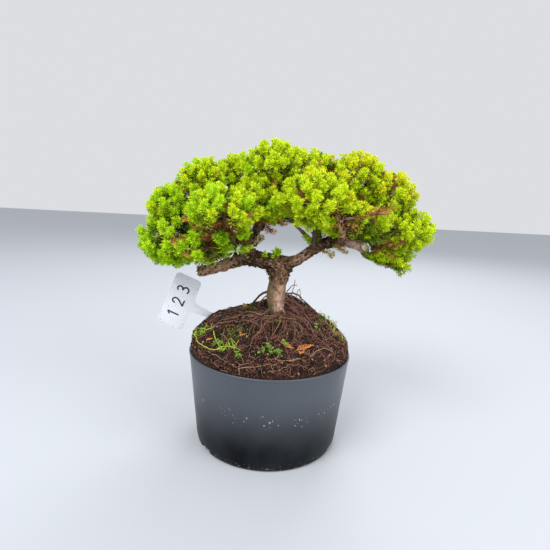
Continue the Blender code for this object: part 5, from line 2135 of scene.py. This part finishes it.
# Places that the foliage leaves open: a line's ends, the reach round it, and the share left out.
GAPS = tuple(Gap(row[:3], row[3:6], *row[6:]) for row in (
    (-84, -20, 187, -26, -20, 205, 11.5), (-79, -40, 190, -24, -40, 207, 12),
    (-86, -18, 231, -32, -18, 232, 10, 0.8), (-84, -40, 230, -30, -40, 231, 11.5),
    (-80, -62, 231, -28, -62, 232, 11.5), (-70, -36, 216, -36, -36, 220, 9),
    (-86, -60, 241, -46, -62, 241, 8.5, 0.85), (-18, -18, 207, -14, -18, 239, 10),
    (-17, -40, 209, -13, -40, 240, 10), (-45, -64, 272, -70, 110, 279, 5.6),
    (-124, -34, 227, -130, -12, 225, 6), (14, -62, 244, 34, -62, 234, 9.5),
    (15, -38, 243, 36, -38, 232, 9.5), (16, -16, 242, 38, -16, 231, 9),
    (66, -36, 232, 92, -36, 223, 11), (70, -16, 231, 95, -14, 222, 9),
    (63, -60, 236, 57, -60, 259, 10), (66, -40, 235, 60, -40, 261, 10),
    (69, -22, 233, 64, -24, 260, 9), (70, -52, 239, 98, -48, 238, 13, 0.9),
    (74, -32, 238, 100, -30, 236, 12, 0.7)))
# Tufts that show by themselves: the top, the way it points, its length and its size.
TUFTS = tuple(Tuft(row[:3], row[3:6], *row[6:]) for row in (
    (-33, -46, 225, -0.2, -0.6, -0.5, 18), (-27, -46, 235, 0.5, -0.6, 0.3, 16, 0.9),
    (-34, -44, 238, -0.3, -0.5, 0.7, 18), (-59, -46, 227, -0.7, -0.6, 0.1, 17),
    (-50, -47, 232, 0.1, -0.5, 0.8, 18), (-51, -45, 219, 0.1, -0.6, -0.5, 15, 0.85),
    (-82, -42, 231, -0.2, -0.5, 0.8, 18), (-76, -43, 219, 0.3, -0.7, 0, 16, 0.9),
    (-88, -38, 221, -0.6, -0.6, 0.1, 16, 0.9), (-72, -38, 209, 0.2, -0.8, -0.1, 15, 0.8),
    (-98, -34, 210, -0.2, -0.8, 0.3, 17), (-144, -6, 208, -0.9, -0.3, -0.1, 16),
    (-139, -8, 202, -0.8, -0.4, -0.3, 16), (-131, -10, 197, -0.5, -0.4, -0.5, 16),
    (-122, -12, 194.5, -0.3, -0.5, -0.6, 16), (-113, -14, 193, -0.1, -0.5, -0.6, 16),
    (-104, -16, 195, 0.1, -0.5, -0.6, 15), (50, -50, 243, -0.3, -0.6, -0.2, 16, 0.9),
    (44, -50, 250, -0.2, -0.6, 0.2, 16), (96, -34, 240, 0.3, -0.7, 0.4, 16, 0.9),
    (28, 19, 256, 0, 0.1, 1, 18), (36, 20, 257, 0.2, 0.1, 1, 18), (44, 18, 258, 0.1, -0.1, 1, 18),
    (52, 19, 257, 0.2, 0, 1, 18), (-68, 18, 256, 0, 0, 1, 18), (-60, 20, 257, 0.2, 0, 1, 18),
    (-76, 19, 256, -0.2, 0, 1, 18), (-68, 26, 252, 0, 0.2, 1, 18), (32, 28, 252, 0, 0.2, 1, 18),
    (48, 27, 252, 0, 0.2, 1, 18)))
# Sprays that show by themselves: the stem's ends, the tones below and above, the shoots' length,
# how many there are, and their habit.
SPRIGS = tuple(Sprig(row[:3], row[3:6], (Tone[row[6]], Tone[row[7]]), *row[8:10], Habit[row[10]])
               for row in (
    (99, -6, 214.5, 134, -10, 198, "GREEN_MIDDLE", "LIME_FRESH", 9.5, 22, "OPEN"),
    (102, -11, 216, 139, -13, 200.5, "LIME_FRESH", "LIME_BRIGHT", 9.5, 22, "OPEN"),
    (104, -14, 217, 131, -19, 207, "LIME_BRIGHT", "LIME_TIP", 9, 15, "OPEN"),
    (101, -3, 212, 134, -3, 199.5, "DEEP", "GREEN_MIDDLE", 9.5, 18, "OPEN"),
    (106, -6, 220, 139, -8, 210, "GREEN_FRESH", "LIME_BRIGHT", 10, 22, "OPEN"),
    (106, -14, 222, 139, -20, 216, "LIME_MIDDLE", "LIME_FRESH", 10, 20, "OPEN"),
    (104, 2, 218, 137, 4, 206, "DEEP", "GREEN_MIDDLE", 11, 18, "OPEN"),
    (104, 6, 222, 142, 8, 217, "DEEP", "GREEN_MIDDLE", 11, 18, "OPEN"),
    (90, 14, 230, 110, 10, 221, "DEEP", "GREEN_MIDDLE", 9, 16, "OPEN"),
    (98, 12, 232, 116, 6, 228, "GREEN_MIDDLE", "LIME_MIDDLE", 9, 14, "OPEN"),
    (93, -6, 213, 116, -8, 203.5, "GREEN_MIDDLE", "GREEN_FRESH", 7, 16, "OPEN"),
    (95, -2, 211.5, 112, -2, 205, "DEEP", "GREEN_MIDDLE", 7, 12, "OPEN"),
    (99, -9, 215, 112, -14, 209, "GREEN_FRESH", "LIME_BRIGHT", 7, 9, "OPEN"),
    (45, -5, 221, 40, -22, 246, "DEEP", "GREEN_MIDDLE", 8, 20, "LEADER"),
    (48, 0, 224, 46, -10, 246, "SHADE", "DEEP", 8, 16, "LEADER"),
    (102, -13, 218.5, 121, -22, 214, "RUST", "DRY", 7, 12, "PLUME"),
    (106, -16, 221, 131, -26, 229, "RUST", "DRY", 7.5, 14, "PLUME"),
    (104, -12, 224, 122, -24, 224, "DRY", "RUST", 7, 9, "PLUME"),
    (74, -42, 250, 104, -54, 260, "DRY", "RUST", 11, 22, "FROND"),
    (80, -36, 250, 103, -54, 256.5, "RUST", "DRY", 8, 9, "FROND"),
    (70, -26, 247, 84, -44, 253, "DRY", "RUST", 7, 7, "PLUME"),
    (60, -38, 251, 51, -49, 257, "DRY", "DRY", 6.5, 9, "PLUME"),
    (62, -38, 250, 61, -50, 258, "DRY", "DRY", 6, 7, "PLUME"),
    (64, -34, 246, 56, -46, 243, "RUST", "RUST", 6, 5, "PLUME"),
    (66, -32, 243, 76, -46, 244, "RUST", "RUST", 6, 5, "PLUME"),
    (62, -6, 262, 70, -16, 244, "SHADE", "DRY", 10, 12, "BARE"),
    (78, -10, 234, 108, -30, 236, "DEEP", "LIME_MIDDLE", 10, 12, "FROND"),
    (80, -8, 232, 106, -22, 228, "DEEP", "GREEN_MIDDLE", 9, 12, "BARE"),
    (110, -20, 232, 140, -30, 236, "DEEP", "LIME_MIDDLE", 10, 12, "FROND"),
    (-14, 2, 242, 6, -12, 241, "DRY", "RUST", 9, 12, "PLUME"),
    (-16, 0, 242, -4, -18, 233, "DRY", "RUST", 9, 11, "PLUME"),
    (-12, 0, 242, 16, -8, 243, "DRY", "GREEN_MIDDLE", 7, 8, "BARE"),
    (-20, -4, 240, -26, -30, 243, "DRY", "DRY", 8, 12, "BARE"),
    (10, -4, 246, 26, -14, 243, "GREEN_MIDDLE", "DEEP", 8, 8, "TIP"),
    (-56, -8, 222, -80, -34, 236, "DRY", "RUST", 9, 16, "PLUME"),
    (-52, -22, 232, -84, -44, 243, "DRY", "RUST", 8.5, 16, "PLUME"),
    (-50, -22, 232, -62, -50, 240, "RUST", "DRY", 8.5, 14, "PLUME"),
    (-48, -20, 230, -42, -50, 238, "DRY", "RUST", 8, 12, "PLUME"),
    (-52, -8, 222, -60, -34, 238, "DRY", "DRY", 9, 16, "PLUME"),
    (-50, -8, 220, -44, -34, 230, "RUST", "DRY", 9, 14, "PLUME"),
    (-46, -6, 218, -30, -28, 222, "DRY", "DRY", 8, 12, "BARE"),
    (-64, -10, 216, -98, -38, 222, "RUST", "DRY", 9, 14, "PLUME"),
    (-60, -10, 218, -66, -32, 225, "DRY", "RUST", 9, 14, "PLUME"),
    (-60, -12, 212, -86, -36, 208, "DRY", "RUST", 8, 12, "BARE"),
    (-44, -10, 212, -60, -32, 207, "DRY", "DEEP", 8, 10, "BARE"),
    (-30, 4, 212, -74, 6, 200, "DEEP", "GREEN_MIDDLE", 10, 16, "FROND"),
    (-36, 10, 216, -80, 14, 206, "SHADE", "DRY", 10, 16, "BARE"),
    (-46, -14, 211, -38, -34, 213, "BLUISH", "BLUISH", 9.5, 3, "LEAFY"),
    (-40, -14, 211, -29, -32, 214, "GREEN_FRESH", "LIME_BRIGHT", 8.5, 6, "OPEN"),
    (-28, 7, 207, -78, 6, 194, "SHADE", "DEEP", 10, 22, "LEADER"),
    (-32, 12, 208, -72, 12, 198, "SHADE", "DEEP", 9, 24, "LEADER"),
    (-30, 12, 214, -92, 16, 204, "SHADE", "DEEP", 12, 24, "LEADER"),
    (-22, 10, 228, -84, 12, 244, "SHADE", "DRY", 12, 24, "LEADER"),
    (-24, 12, 220, -80, 8, 224, "SHADE", "DRY", 12, 24, "LEADER"),
    (-20, 8, 214, -60, 16, 226, "SHADE", "DRY", 11, 18, "BARE"),
    (-24, 14, 222, -70, 22, 214, "DRY", "SHADE", 11, 18, "BARE"),
    (-60, 12, 212, -104, 14, 226, "SHADE", "DRY", 11, 18, "BARE"),
    (-50, 10, 230, -96, 6, 236, "SHADE", "DRY", 11, 18, "BARE"),
    (2, -6, 203, 2.5, -9, 211, "GREEN_FRESH", "GREEN_BRIGHT", 6.5, 4, "SPROUT"),
    (-10, -7, 204, -10.5, -10, 208, "GREEN_FRESH", "GREEN_BRIGHT", 4, 2, "SPROUT"),
    (-20, -2, 216, -15, -6, 224, "GREEN_FRESH", "RUST", 7, 7, "TIP"),
    (42, -2, 220, 33, -6, 226, "GREEN_FRESH", "GREEN_BRIGHT", 8, 6, "TIP"),
    (50, -4, 214, 60, -8, 211, "GREEN_FRESH", "RUST", 7, 7, "TIP"),
    (62, -4, 220, 74, -10, 216, "GREEN_MIDDLE", "RUST", 7, 8, "TIP")))


@dataclass
class Crown:
    """All twigs and needles, mass by mass, grown on from the boughs by a seeded rule."""

    skeleton: Skeleton
    tuft_pitch: float = 15.5
    tuft_length: Span = (24.0, 31.0)
    tip_length: float = 8.0
    comb_length: float = 19.0
    inner_length: float = 13.0
    side_tips: int = 11
    tip_leans: Span = (28.0, 44.0)  # the first side tip's lean in degrees, and what is added
    open_share: Spot = (0.55, 0.35, 0.2)  # the looser shoots among them, by hue
    limb_clear: float = 1.6
    lift: Span = (0.2, 1.05)  # how strongly tufts turn up, below and above
    stray: float = 0.3
    rim: Span = (0.82, 1.03)  # how far out in its mass a tuft's top lies
    hidden: float = 0.78  # a tuft deeper than this in another mass isn't grown
    buried: float = 0.5  # nor a shoot that ends deeper than this in one
    beyond: float = 1.12  # or further out than this in its own
    forks: int = 9
    fork_depth: float = 0.42
    inner_shoots: int = 64
    inner_depth: Span = (0.3, 0.72)  # where inner shoots start
    inner_end: float = 0.88  # and how far out they may end
    dead_share: Span = (0.5, 0.15)  # of the inner shoots, low and high in the mass
    full_mass: float = 24.0  # tufts are smaller in a mass with a smaller radius
    lit: Span = (0.45, 0.9)  # the depths between which the light falls on the needles
    sunny: Span = (-130.0, 150.0)  # the hue turns golden from left to right
    high: Span = (215.0, 305.0)  # and from low to high
    gaps: tuple = GAPS
    bare_masses: tuple[str, ...] = ("foliage_right_trail",)
    splinters: int = 46
    torn_twigs: tuple = (
        (((72, -3, 229), (70, -18, 234), (66, -30, 240), (63.5, -37, 248), (61, -38.5, 253),
          (57, -38, 257)), (3.8, 3.4, 3.1, 2.8, 2.2, 1)),
        (((64, -36, 249), (78, -40, 252), (98, -50, 258)), (1.5, 1.1, 0.6)))
    tufts: tuple = TUFTS
    sprigs: tuple = SPRIGS

    def __post_init__(self) -> None:
        """Make the shoot patterns and the empty heaps."""
        rng = random.Random(SEED)
        self.patterns, self.lengths, self.kinds = [], [], {}
        for habit in Habit:
            first = len(self.patterns)
            for pattern in habit.value:
                self.patterns.append(pattern.make(rng))
                self.lengths.append(pattern.length)
            self.kinds[habit] = range(first, len(self.patterns))
        self.needles = {tone: Heap() for tone in Tone}
        self.twigs, self.stems = Heap(), Heap()

    def crown_depth(self, point: Vector, but: str = "") -> float:
        """How far out a point is in the mass that it is deepest in."""
        return min(mass.depth(point) for name, mass in MASSES.items() if name != but)

    def hue(self, place: Vector, rng: random.Random) -> int:
        """Which hue a tuft has: greener low on the left, golden high and on the right."""
        sun = 1.2 * smooth_step(place.x, *self.sunny) + 0.5 * smooth_step(place.z, *self.high)
        return min(max(round(sun + rng.gauss(0.0, 0.22)), 0), len(HUES) - 1)

    def tones(self, mass: Mass, hue: int, tip: Vector, way: Vector,
              rng: random.Random) -> tuple[Tone, Tone]:
        """The colours of a shoot's lower and upper needles, from how much light it gets.

        Args:
            mass: the mass that it grows in.
            hue: the hue of its tuft.
            tip: where it ends.
            way: where it points.
            rng: the source of small differences.

        Returns:
            The two tones.
        """
        light = smooth_step(self.crown_depth(tip), *self.lit)
        high = (tip.z - mass.centre[2]) / mass.radii[2]
        # Mostly the light that reaches the tip, then its height in the mass, its aim and its hue.
        bright = (0.6 * light + 0.2 * (0.5 + 0.5 * high) + 0.2 * (0.5 + 0.5 * way.z)
                  + rng.gauss(0.0, 0.06) + 0.05 * hue)
        series = HUES[hue]
        step = min(max(round((0.9 - bright) * 5.5), 0), len(series) - 1)
        return series[min(step + 1, len(series) - 1)], series[step]

    def open_at(self, point: Vector, rng: random.Random) -> bool:
        """Whether a gap leaves the foliage open at a point."""
        return any(gap.holds(point) and rng.random() < gap.share for gap in self.gaps)

    def shoot(self, shoots: Shoots, habit: Habit, tones: tuple[Tone, Tone], root: Vector,
              way: Vector, length: float, rng: random.Random) -> None:
        """Add one shoot, bent a little upwards.

        Args:
            shoots: where the shoots are gathered.
            habit: its kind.
            tones: the colours of its lower and upper needles.
            root: where it starts.
            way: where it points.
            length: its length.
            rng: the source of small differences.
        """
        pattern = rng.choice(self.kinds[habit])
        size = length / self.lengths[pattern]
        bend = (UP - way * way.z) * length * rng.uniform(0.0, 0.16)
        shoots.add(pattern, tones, root, way, size, rng.uniform(0.0, math.tau), bend)

    def tuft(self, name: str, tuft: Tuft, shoots: Shoots, rng: random.Random) -> None:
        """Add a branchlet: a stem with combed needles and a dense head of short tips.

        Args:
            name: the mass that it grows in.
            tuft: its top, aim, length and size.
            shoots: where the shoots are gathered.
            rng: the source of small differences.
        """
        mass, size = MASSES[name], tuft.size
        top, aim = Vector(tuft.top), Vector(tuft.aim).normalized()
        base = top - aim * tuft.length
        side = aim.orthogonal().normalized()
        other = aim.cross(side)
        spin = rng.uniform(0.0, math.tau)
        tip = self.tip_length * size
        hue = self.hue(top, rng)
        rows = [(Habit.TIP, top - aim * tip, aim, tip, 0)]
        for number in range(self.side_tips):
            back = tip * (0.85 + 1.0 * number / self.side_tips) + rng.uniform(0.0, 1.5)
            turn = number * GOLDEN + spin
            first, more = self.tip_leans
            lean = math.radians(first + more * number / self.side_tips + rng.uniform(-9.0, 9.0))
            out = side * math.cos(turn) + other * math.sin(turn)
            way = (aim * math.cos(lean) + out * math.sin(lean) + UP * 0.12).normalized()
            habit = Habit.OPEN if rng.random() < self.open_share[hue] else Habit.TIP
            long = tip * rng.uniform(0.85, 1.15)
            rows.append((habit, top - aim * back, way, long, 0))
        rows.append((Habit.COMB, top - aim * tip * 3.1, aim, self.comb_length * size, 1))
        for habit, root, way, long, darker in rows:
            end = root + way * long
            if self.crown_depth(end, name) < self.buried or mass.depth(end) > self.beyond:
                continue
            if not all(self.skeleton.clear_of(root.lerp(end, part), self.limb_clear)
                       for part in (0.2, 0.6, 1.0)):
                continue
            lower, upper = self.tones(mass, hue, end, way, rng)
            # The comb under the head gets the darker tone on all its needles: painted shade.
            pair = (lower, lower) if darker else (lower, upper)
            self.shoot(shoots, habit, pair, root, way, long, rng)
            if darker:
                self.stems.add(tube([base, base.lerp(top, 0.4), top - aim * tip * 0.6],
                                    [0.5 * size, 0.45, 0.3], 4), name)

    def grow(self, number: int, name: str) -> None:
        """Grow one mass: its stem, forks and twigs, and the tufts on them.

        Args:
            number: its place in the table, which seeds it.
            name: its node.
        """
        mass = MASSES[name]
        rng = random.Random(SEED * 100 + number)
        centre, radii = Vector(mass.centre), mass.radii
        tip = self.skeleton.routes[name.replace("foliage_", "bough_to_")][0][-1]
        self.twigs.add(tube([tip, tip.lerp(centre, 0.5) + UP, centre],
                            [mass.bough[1], 1.2, 0.9], 6), name)
        forks = []
        for index in range(self.forks):
            way = self.spread(index, self.forks, number * 1.7)
            fork = centre + way * mass.rim(way) * self.fork_depth
            start = tip.lerp(centre, rng.uniform(0.3, 1.0))
            forks.append(fork)
            self.twigs.add(tube([start, start.lerp(fork, 0.5) - UP * rng.uniform(0.5, 2.5), fork],
                                [1.1, 0.9, 0.75], 5), name)
        size = max(min(1.0, min(radii) / self.full_mass), 0.6)
        area = 4.0 * math.pi * (radii[0] * radii[1] * radii[2]) ** (2.0 / 3.0)
        count = 0 if name in self.bare_masses else round(area / (self.tuft_pitch * size) ** 2)
        shoots = Shoots()
        for index in range(count):
            way = self.spread(index, count, float(number))
            top = centre + way * mass.rim(way) * rng.uniform(*self.rim)
            lift = self.lift[0] + (self.lift[1] - self.lift[0]) * smooth_step(way.z, -1.0, -0.1)
            length = rng.uniform(*self.tuft_length) * size
            stray = Vector((rng.gauss(0.0, self.stray), rng.gauss(0.0, self.stray), 0.0))
            for share in (1.0, 0.5, 0.0):
                aim = (way + stray + UP * lift * share).normalized()
                if mass.depth(top - aim * length) < 0.8:
                    break
            if (self.crown_depth(top, name) < self.hidden or self.open_at(top, rng)
                    or self.open_at(top - aim * 8, rng)):
                continue
            self.tuft(name, Tuft(top, aim, length, size), shoots, rng)
            base = top - aim * length
            fork = min(forks, key=lambda place: (place - base).length)
            self.twigs.add(tube([fork, fork.lerp(base, 0.5) - UP * 0.8, base],
                                [0.8, 0.7, 0.6], 4), name)
        for index in range(self.inner_shoots):
            way = self.spread(index, self.inner_shoots, number * 0.9)
            root = centre + way * mass.rim(way) * rng.uniform(*self.inner_depth)
            lean = (way + Vector((rng.gauss(0, 0.5), rng.gauss(0, 0.5), 0.3))).normalized()
            end = root + lean * self.inner_length * size
            if (not self.skeleton.clear_of(root, self.limb_clear + 2.0) or self.open_at(root, rng)
                    or self.open_at(end, rng) or self.crown_depth(end) > self.inner_end):
                continue
            dead = rng.random() < self.dead_share[root.z >= centre.z + 4.0]
            tones = (Tone.DRY, rng.choice(DEAD)) if dead else (Tone.SHADE, Tone.DEEP)
            habit = Habit.BARE if dead else Habit.LEADER
            self.shoot(shoots, habit, tones, root, lean, self.inner_length * size, rng)
        self.stamp_shoots(shoots, name)

    @staticmethod
    def spread(index: int, count: int, turn: float) -> Vector:
        """One of many directions spread evenly over a sphere.

        Args:
            index: its number.
            count: how many there are.
            turn: how far all are turned about Z, in radians.

        Returns:
            The direction, of length 1.
        """
        rise = 1.0 - 2.0 * (index + 0.5) / count
        flat = math.sqrt(1.0 - rise * rise)
        angle = index * GOLDEN + turn
        return Vector((flat * math.cos(angle), flat * math.sin(angle), rise))

    def stamp_shoots(self, shoots: Shoots, node: str) -> None:
        """Turn the waiting shoots into needles.

        Args:
            shoots: the shoots.
            node: the solid that they stand for.
        """
        for (pattern, tones), rows in shoots.rows.items():
            table = np.array(rows)
            places = (table[:, 0:3], table[:, 3:6], table[:, 6], table[:, 7], table[:, 8:11])
            for (points, faces), tone in zip(self.patterns[pattern], tones):
                self.needles[tone].add(stamp(points, faces, *places), node)

    def grow_sprigs(self) -> None:
        """Grow the tufts and sprays that show by themselves."""
        rng = random.Random(SEED + 9)
        shoots = Shoots()
        for tuft in self.tufts:
            # It takes its light from the mass that it is deepest in.
            near = min(MASSES, key=lambda name: MASSES[name].depth(Vector(tuft.top)))
            self.tuft(near, tuft, shoots, rng)
        for sprig in self.sprigs:
            start, end = Vector(sprig.start), Vector(sprig.end)
            aim = (end - start).normalized()
            side = aim.cross(UP).normalized()
            middle = start.lerp(end, 0.5) + UP * (end - start).length * 0.06
            self.twigs.add(tube([start, middle, end], [0.9, 0.7, 0.4], 5))
            for number in range(sprig.shoots):
                part = (number + 0.6) / sprig.shoots
                root = (start.lerp(middle, part * 2) if part < 0.5
                        else middle.lerp(end, part * 2 - 1))
                lean = math.radians(rng.uniform(35.0, 60.0))
                turn = (number % 2) * math.pi + rng.uniform(-0.8, 0.8)
                out = side * math.cos(turn) + side.cross(aim) * math.sin(turn)
                way = (aim * math.cos(lean) + out * math.sin(lean)).normalized()
                tones = sprig.tones if rng.random() < 0.7 else (sprig.tones[1], sprig.tones[0])
                length = sprig.shoot * rng.uniform(0.75, 1.15)
                self.shoot(shoots, sprig.habit, tones, root, way, length, rng)
            self.shoot(shoots, sprig.habit, sprig.tones, end - aim * 2.0, aim, sprig.shoot, rng)
        torn = Heap()
        for path, radii in self.torn_twigs:
            torn.add(tube([Vector(point) for point in path], list(radii), 8))
        torn.place("torn_twigs", TORN_BARK, "bark")
        self.splinter(rng)
        self.stamp_shoots(shoots, "")

    def splinter(self, rng: random.Random) -> None:
        """Peel strips of bark and wood off the torn riser.

        Args:
            rng: the source of chance.
        """
        heaps = {FLAKE_DARK: Heap(), TORN_BARK: Heap(), FLAKE_PALE: Heap()}
        path = [Vector(point) for point in self.torn_twigs[0][0][:5]]
        for _ in range(self.splinters):
            spot = rng.random() * (len(path) - 1.001)
            low = int(spot)
            run = (path[low + 1] - path[low]).normalized()
            lean = Vector((rng.gauss(0.25, 0.5), rng.gauss(-0.5, 0.3), rng.gauss(0.0, 0.3)))
            root = path[low].lerp(path[low + 1], spot - low) + lean.normalized() * 2.6
            way = (run * rng.uniform(0.5, 1.0) + lean * 0.9).normalized()
            long = rng.uniform(5.0, 11.0)
            hang = Vector((0.0, 0.0, -0.16)) * long
            finish = rng.choice(tuple(heaps))
            line = [root - run * 2.0, root + way * long * 0.5, root + way * long + hang]
            heaps[finish].add(tube(line, [0.8, 0.7, 0.2], 4))
        place_heaps(heaps, "splinters_{}", "bark")

    def build(self) -> None:
        """Grow every mass and put the needles, stems and twigs in the scene."""
        for number, name in enumerate(MASSES):
            self.grow(number, name)
        self.grow_sprigs()
        place_heaps({tone.value: heap for tone, heap in self.needles.items()}, "{}", "foliage")
        self.stems.place("young_stems", YOUNG_STEM, "foliage")
        self.twigs.place("twigs", TWIG_BARK, "bark")


# ----------------------------------------------------------------- the studio


@dataclass
class Studio:
    """The floor, the soft lights and the camera."""

    floor_side: float = 12.0
    # Each lamp's name, its place and side in metres, and its power in watts.
    lamps: tuple = (
        ("key", (-0.8, -1.1, 1.7), 1.1, 32.0), ("fill", (1.3, -0.9, 0.9), 1.2, 16.0),
        ("back", (0.4, 1.4, 1.4), 1.0, 14.0))
    lamp_aim: Spot = (0.0, 0.0, 0.2)
    sky: str = "#DCDEE2"
    camera_place: Spot = (0.0020, -0.4457, 0.2608)  # in metres
    camera_tilt: float = math.radians(9.72)
    camera_roll: float = math.radians(2.87)
    focal_px: float = 413.0
    frame_px: float = 550.0
    sensor: float = 36.0

    def build(self) -> None:
        """Set the stage round the plant."""
        bpy.ops.mesh.primitive_plane_add(size=self.floor_side)
        floor = bpy.context.object
        floor.name = "floor"
        floor.data.materials.append(BOARD.material())
        for lamp in self.lamps:
            self.light(*lamp)
        world = bpy.data.worlds.new("studio")
        world.use_nodes = True
        tree = world.node_tree
        feed(tree, tree.nodes["Background"], {"Color": linear(self.sky), "Strength": 1.0})
        bpy.context.scene.world = world
        bpy.context.scene.view_settings.view_transform = "Standard"
        self.camera()

    def light(self, name: str, place: Spot, size: float, power: float) -> None:
        """Hang a soft square lamp that faces the plant.

        Args:
            name: its name.
            place: where it hangs, in metres.
            size: its side, in metres.
            power: its power, in watts.
        """
        lamp = bpy.data.lights.new(name, "AREA")
        lamp.size = size
        lamp.energy = power
        holder = bpy.data.objects.new(name, lamp)
        holder.location = place
        aim = Vector(self.lamp_aim) - Vector(place)
        holder.rotation_euler = aim.to_track_quat("-Z", "Y").to_euler()
        bpy.context.scene.collection.objects.link(holder)

    def camera(self) -> None:
        """Put up the camera, tilted down and turned a little about its axis."""
        data = bpy.data.cameras.new("camera")
        data.sensor_width = self.sensor
        data.lens = self.focal_px / self.frame_px * self.sensor
        data.clip_start = 0.01
        camera = bpy.data.objects.new("camera", data)
        level = Matrix.Rotation(math.radians(90.0) - self.camera_tilt, 4, "X")
        roll = Matrix.Rotation(self.camera_roll, 4, "Z")
        camera.matrix_world = Matrix.Translation(self.camera_place) @ level @ roll
        bpy.context.scene.collection.objects.link(camera)
        bpy.context.scene.camera = camera


def main() -> None:
    """Build the surfaces in order."""
    logging.basicConfig(level=logging.INFO, format="%(name)s: %(message)s")
    pot = Pot()
    pot.build()
    Mound(pot).build()
    Label().build()
    skeleton = Skeleton()
    Wood(skeleton).build()
    Crown(skeleton).build()
    Studio().build()


if __name__ == "__main__":
    main()
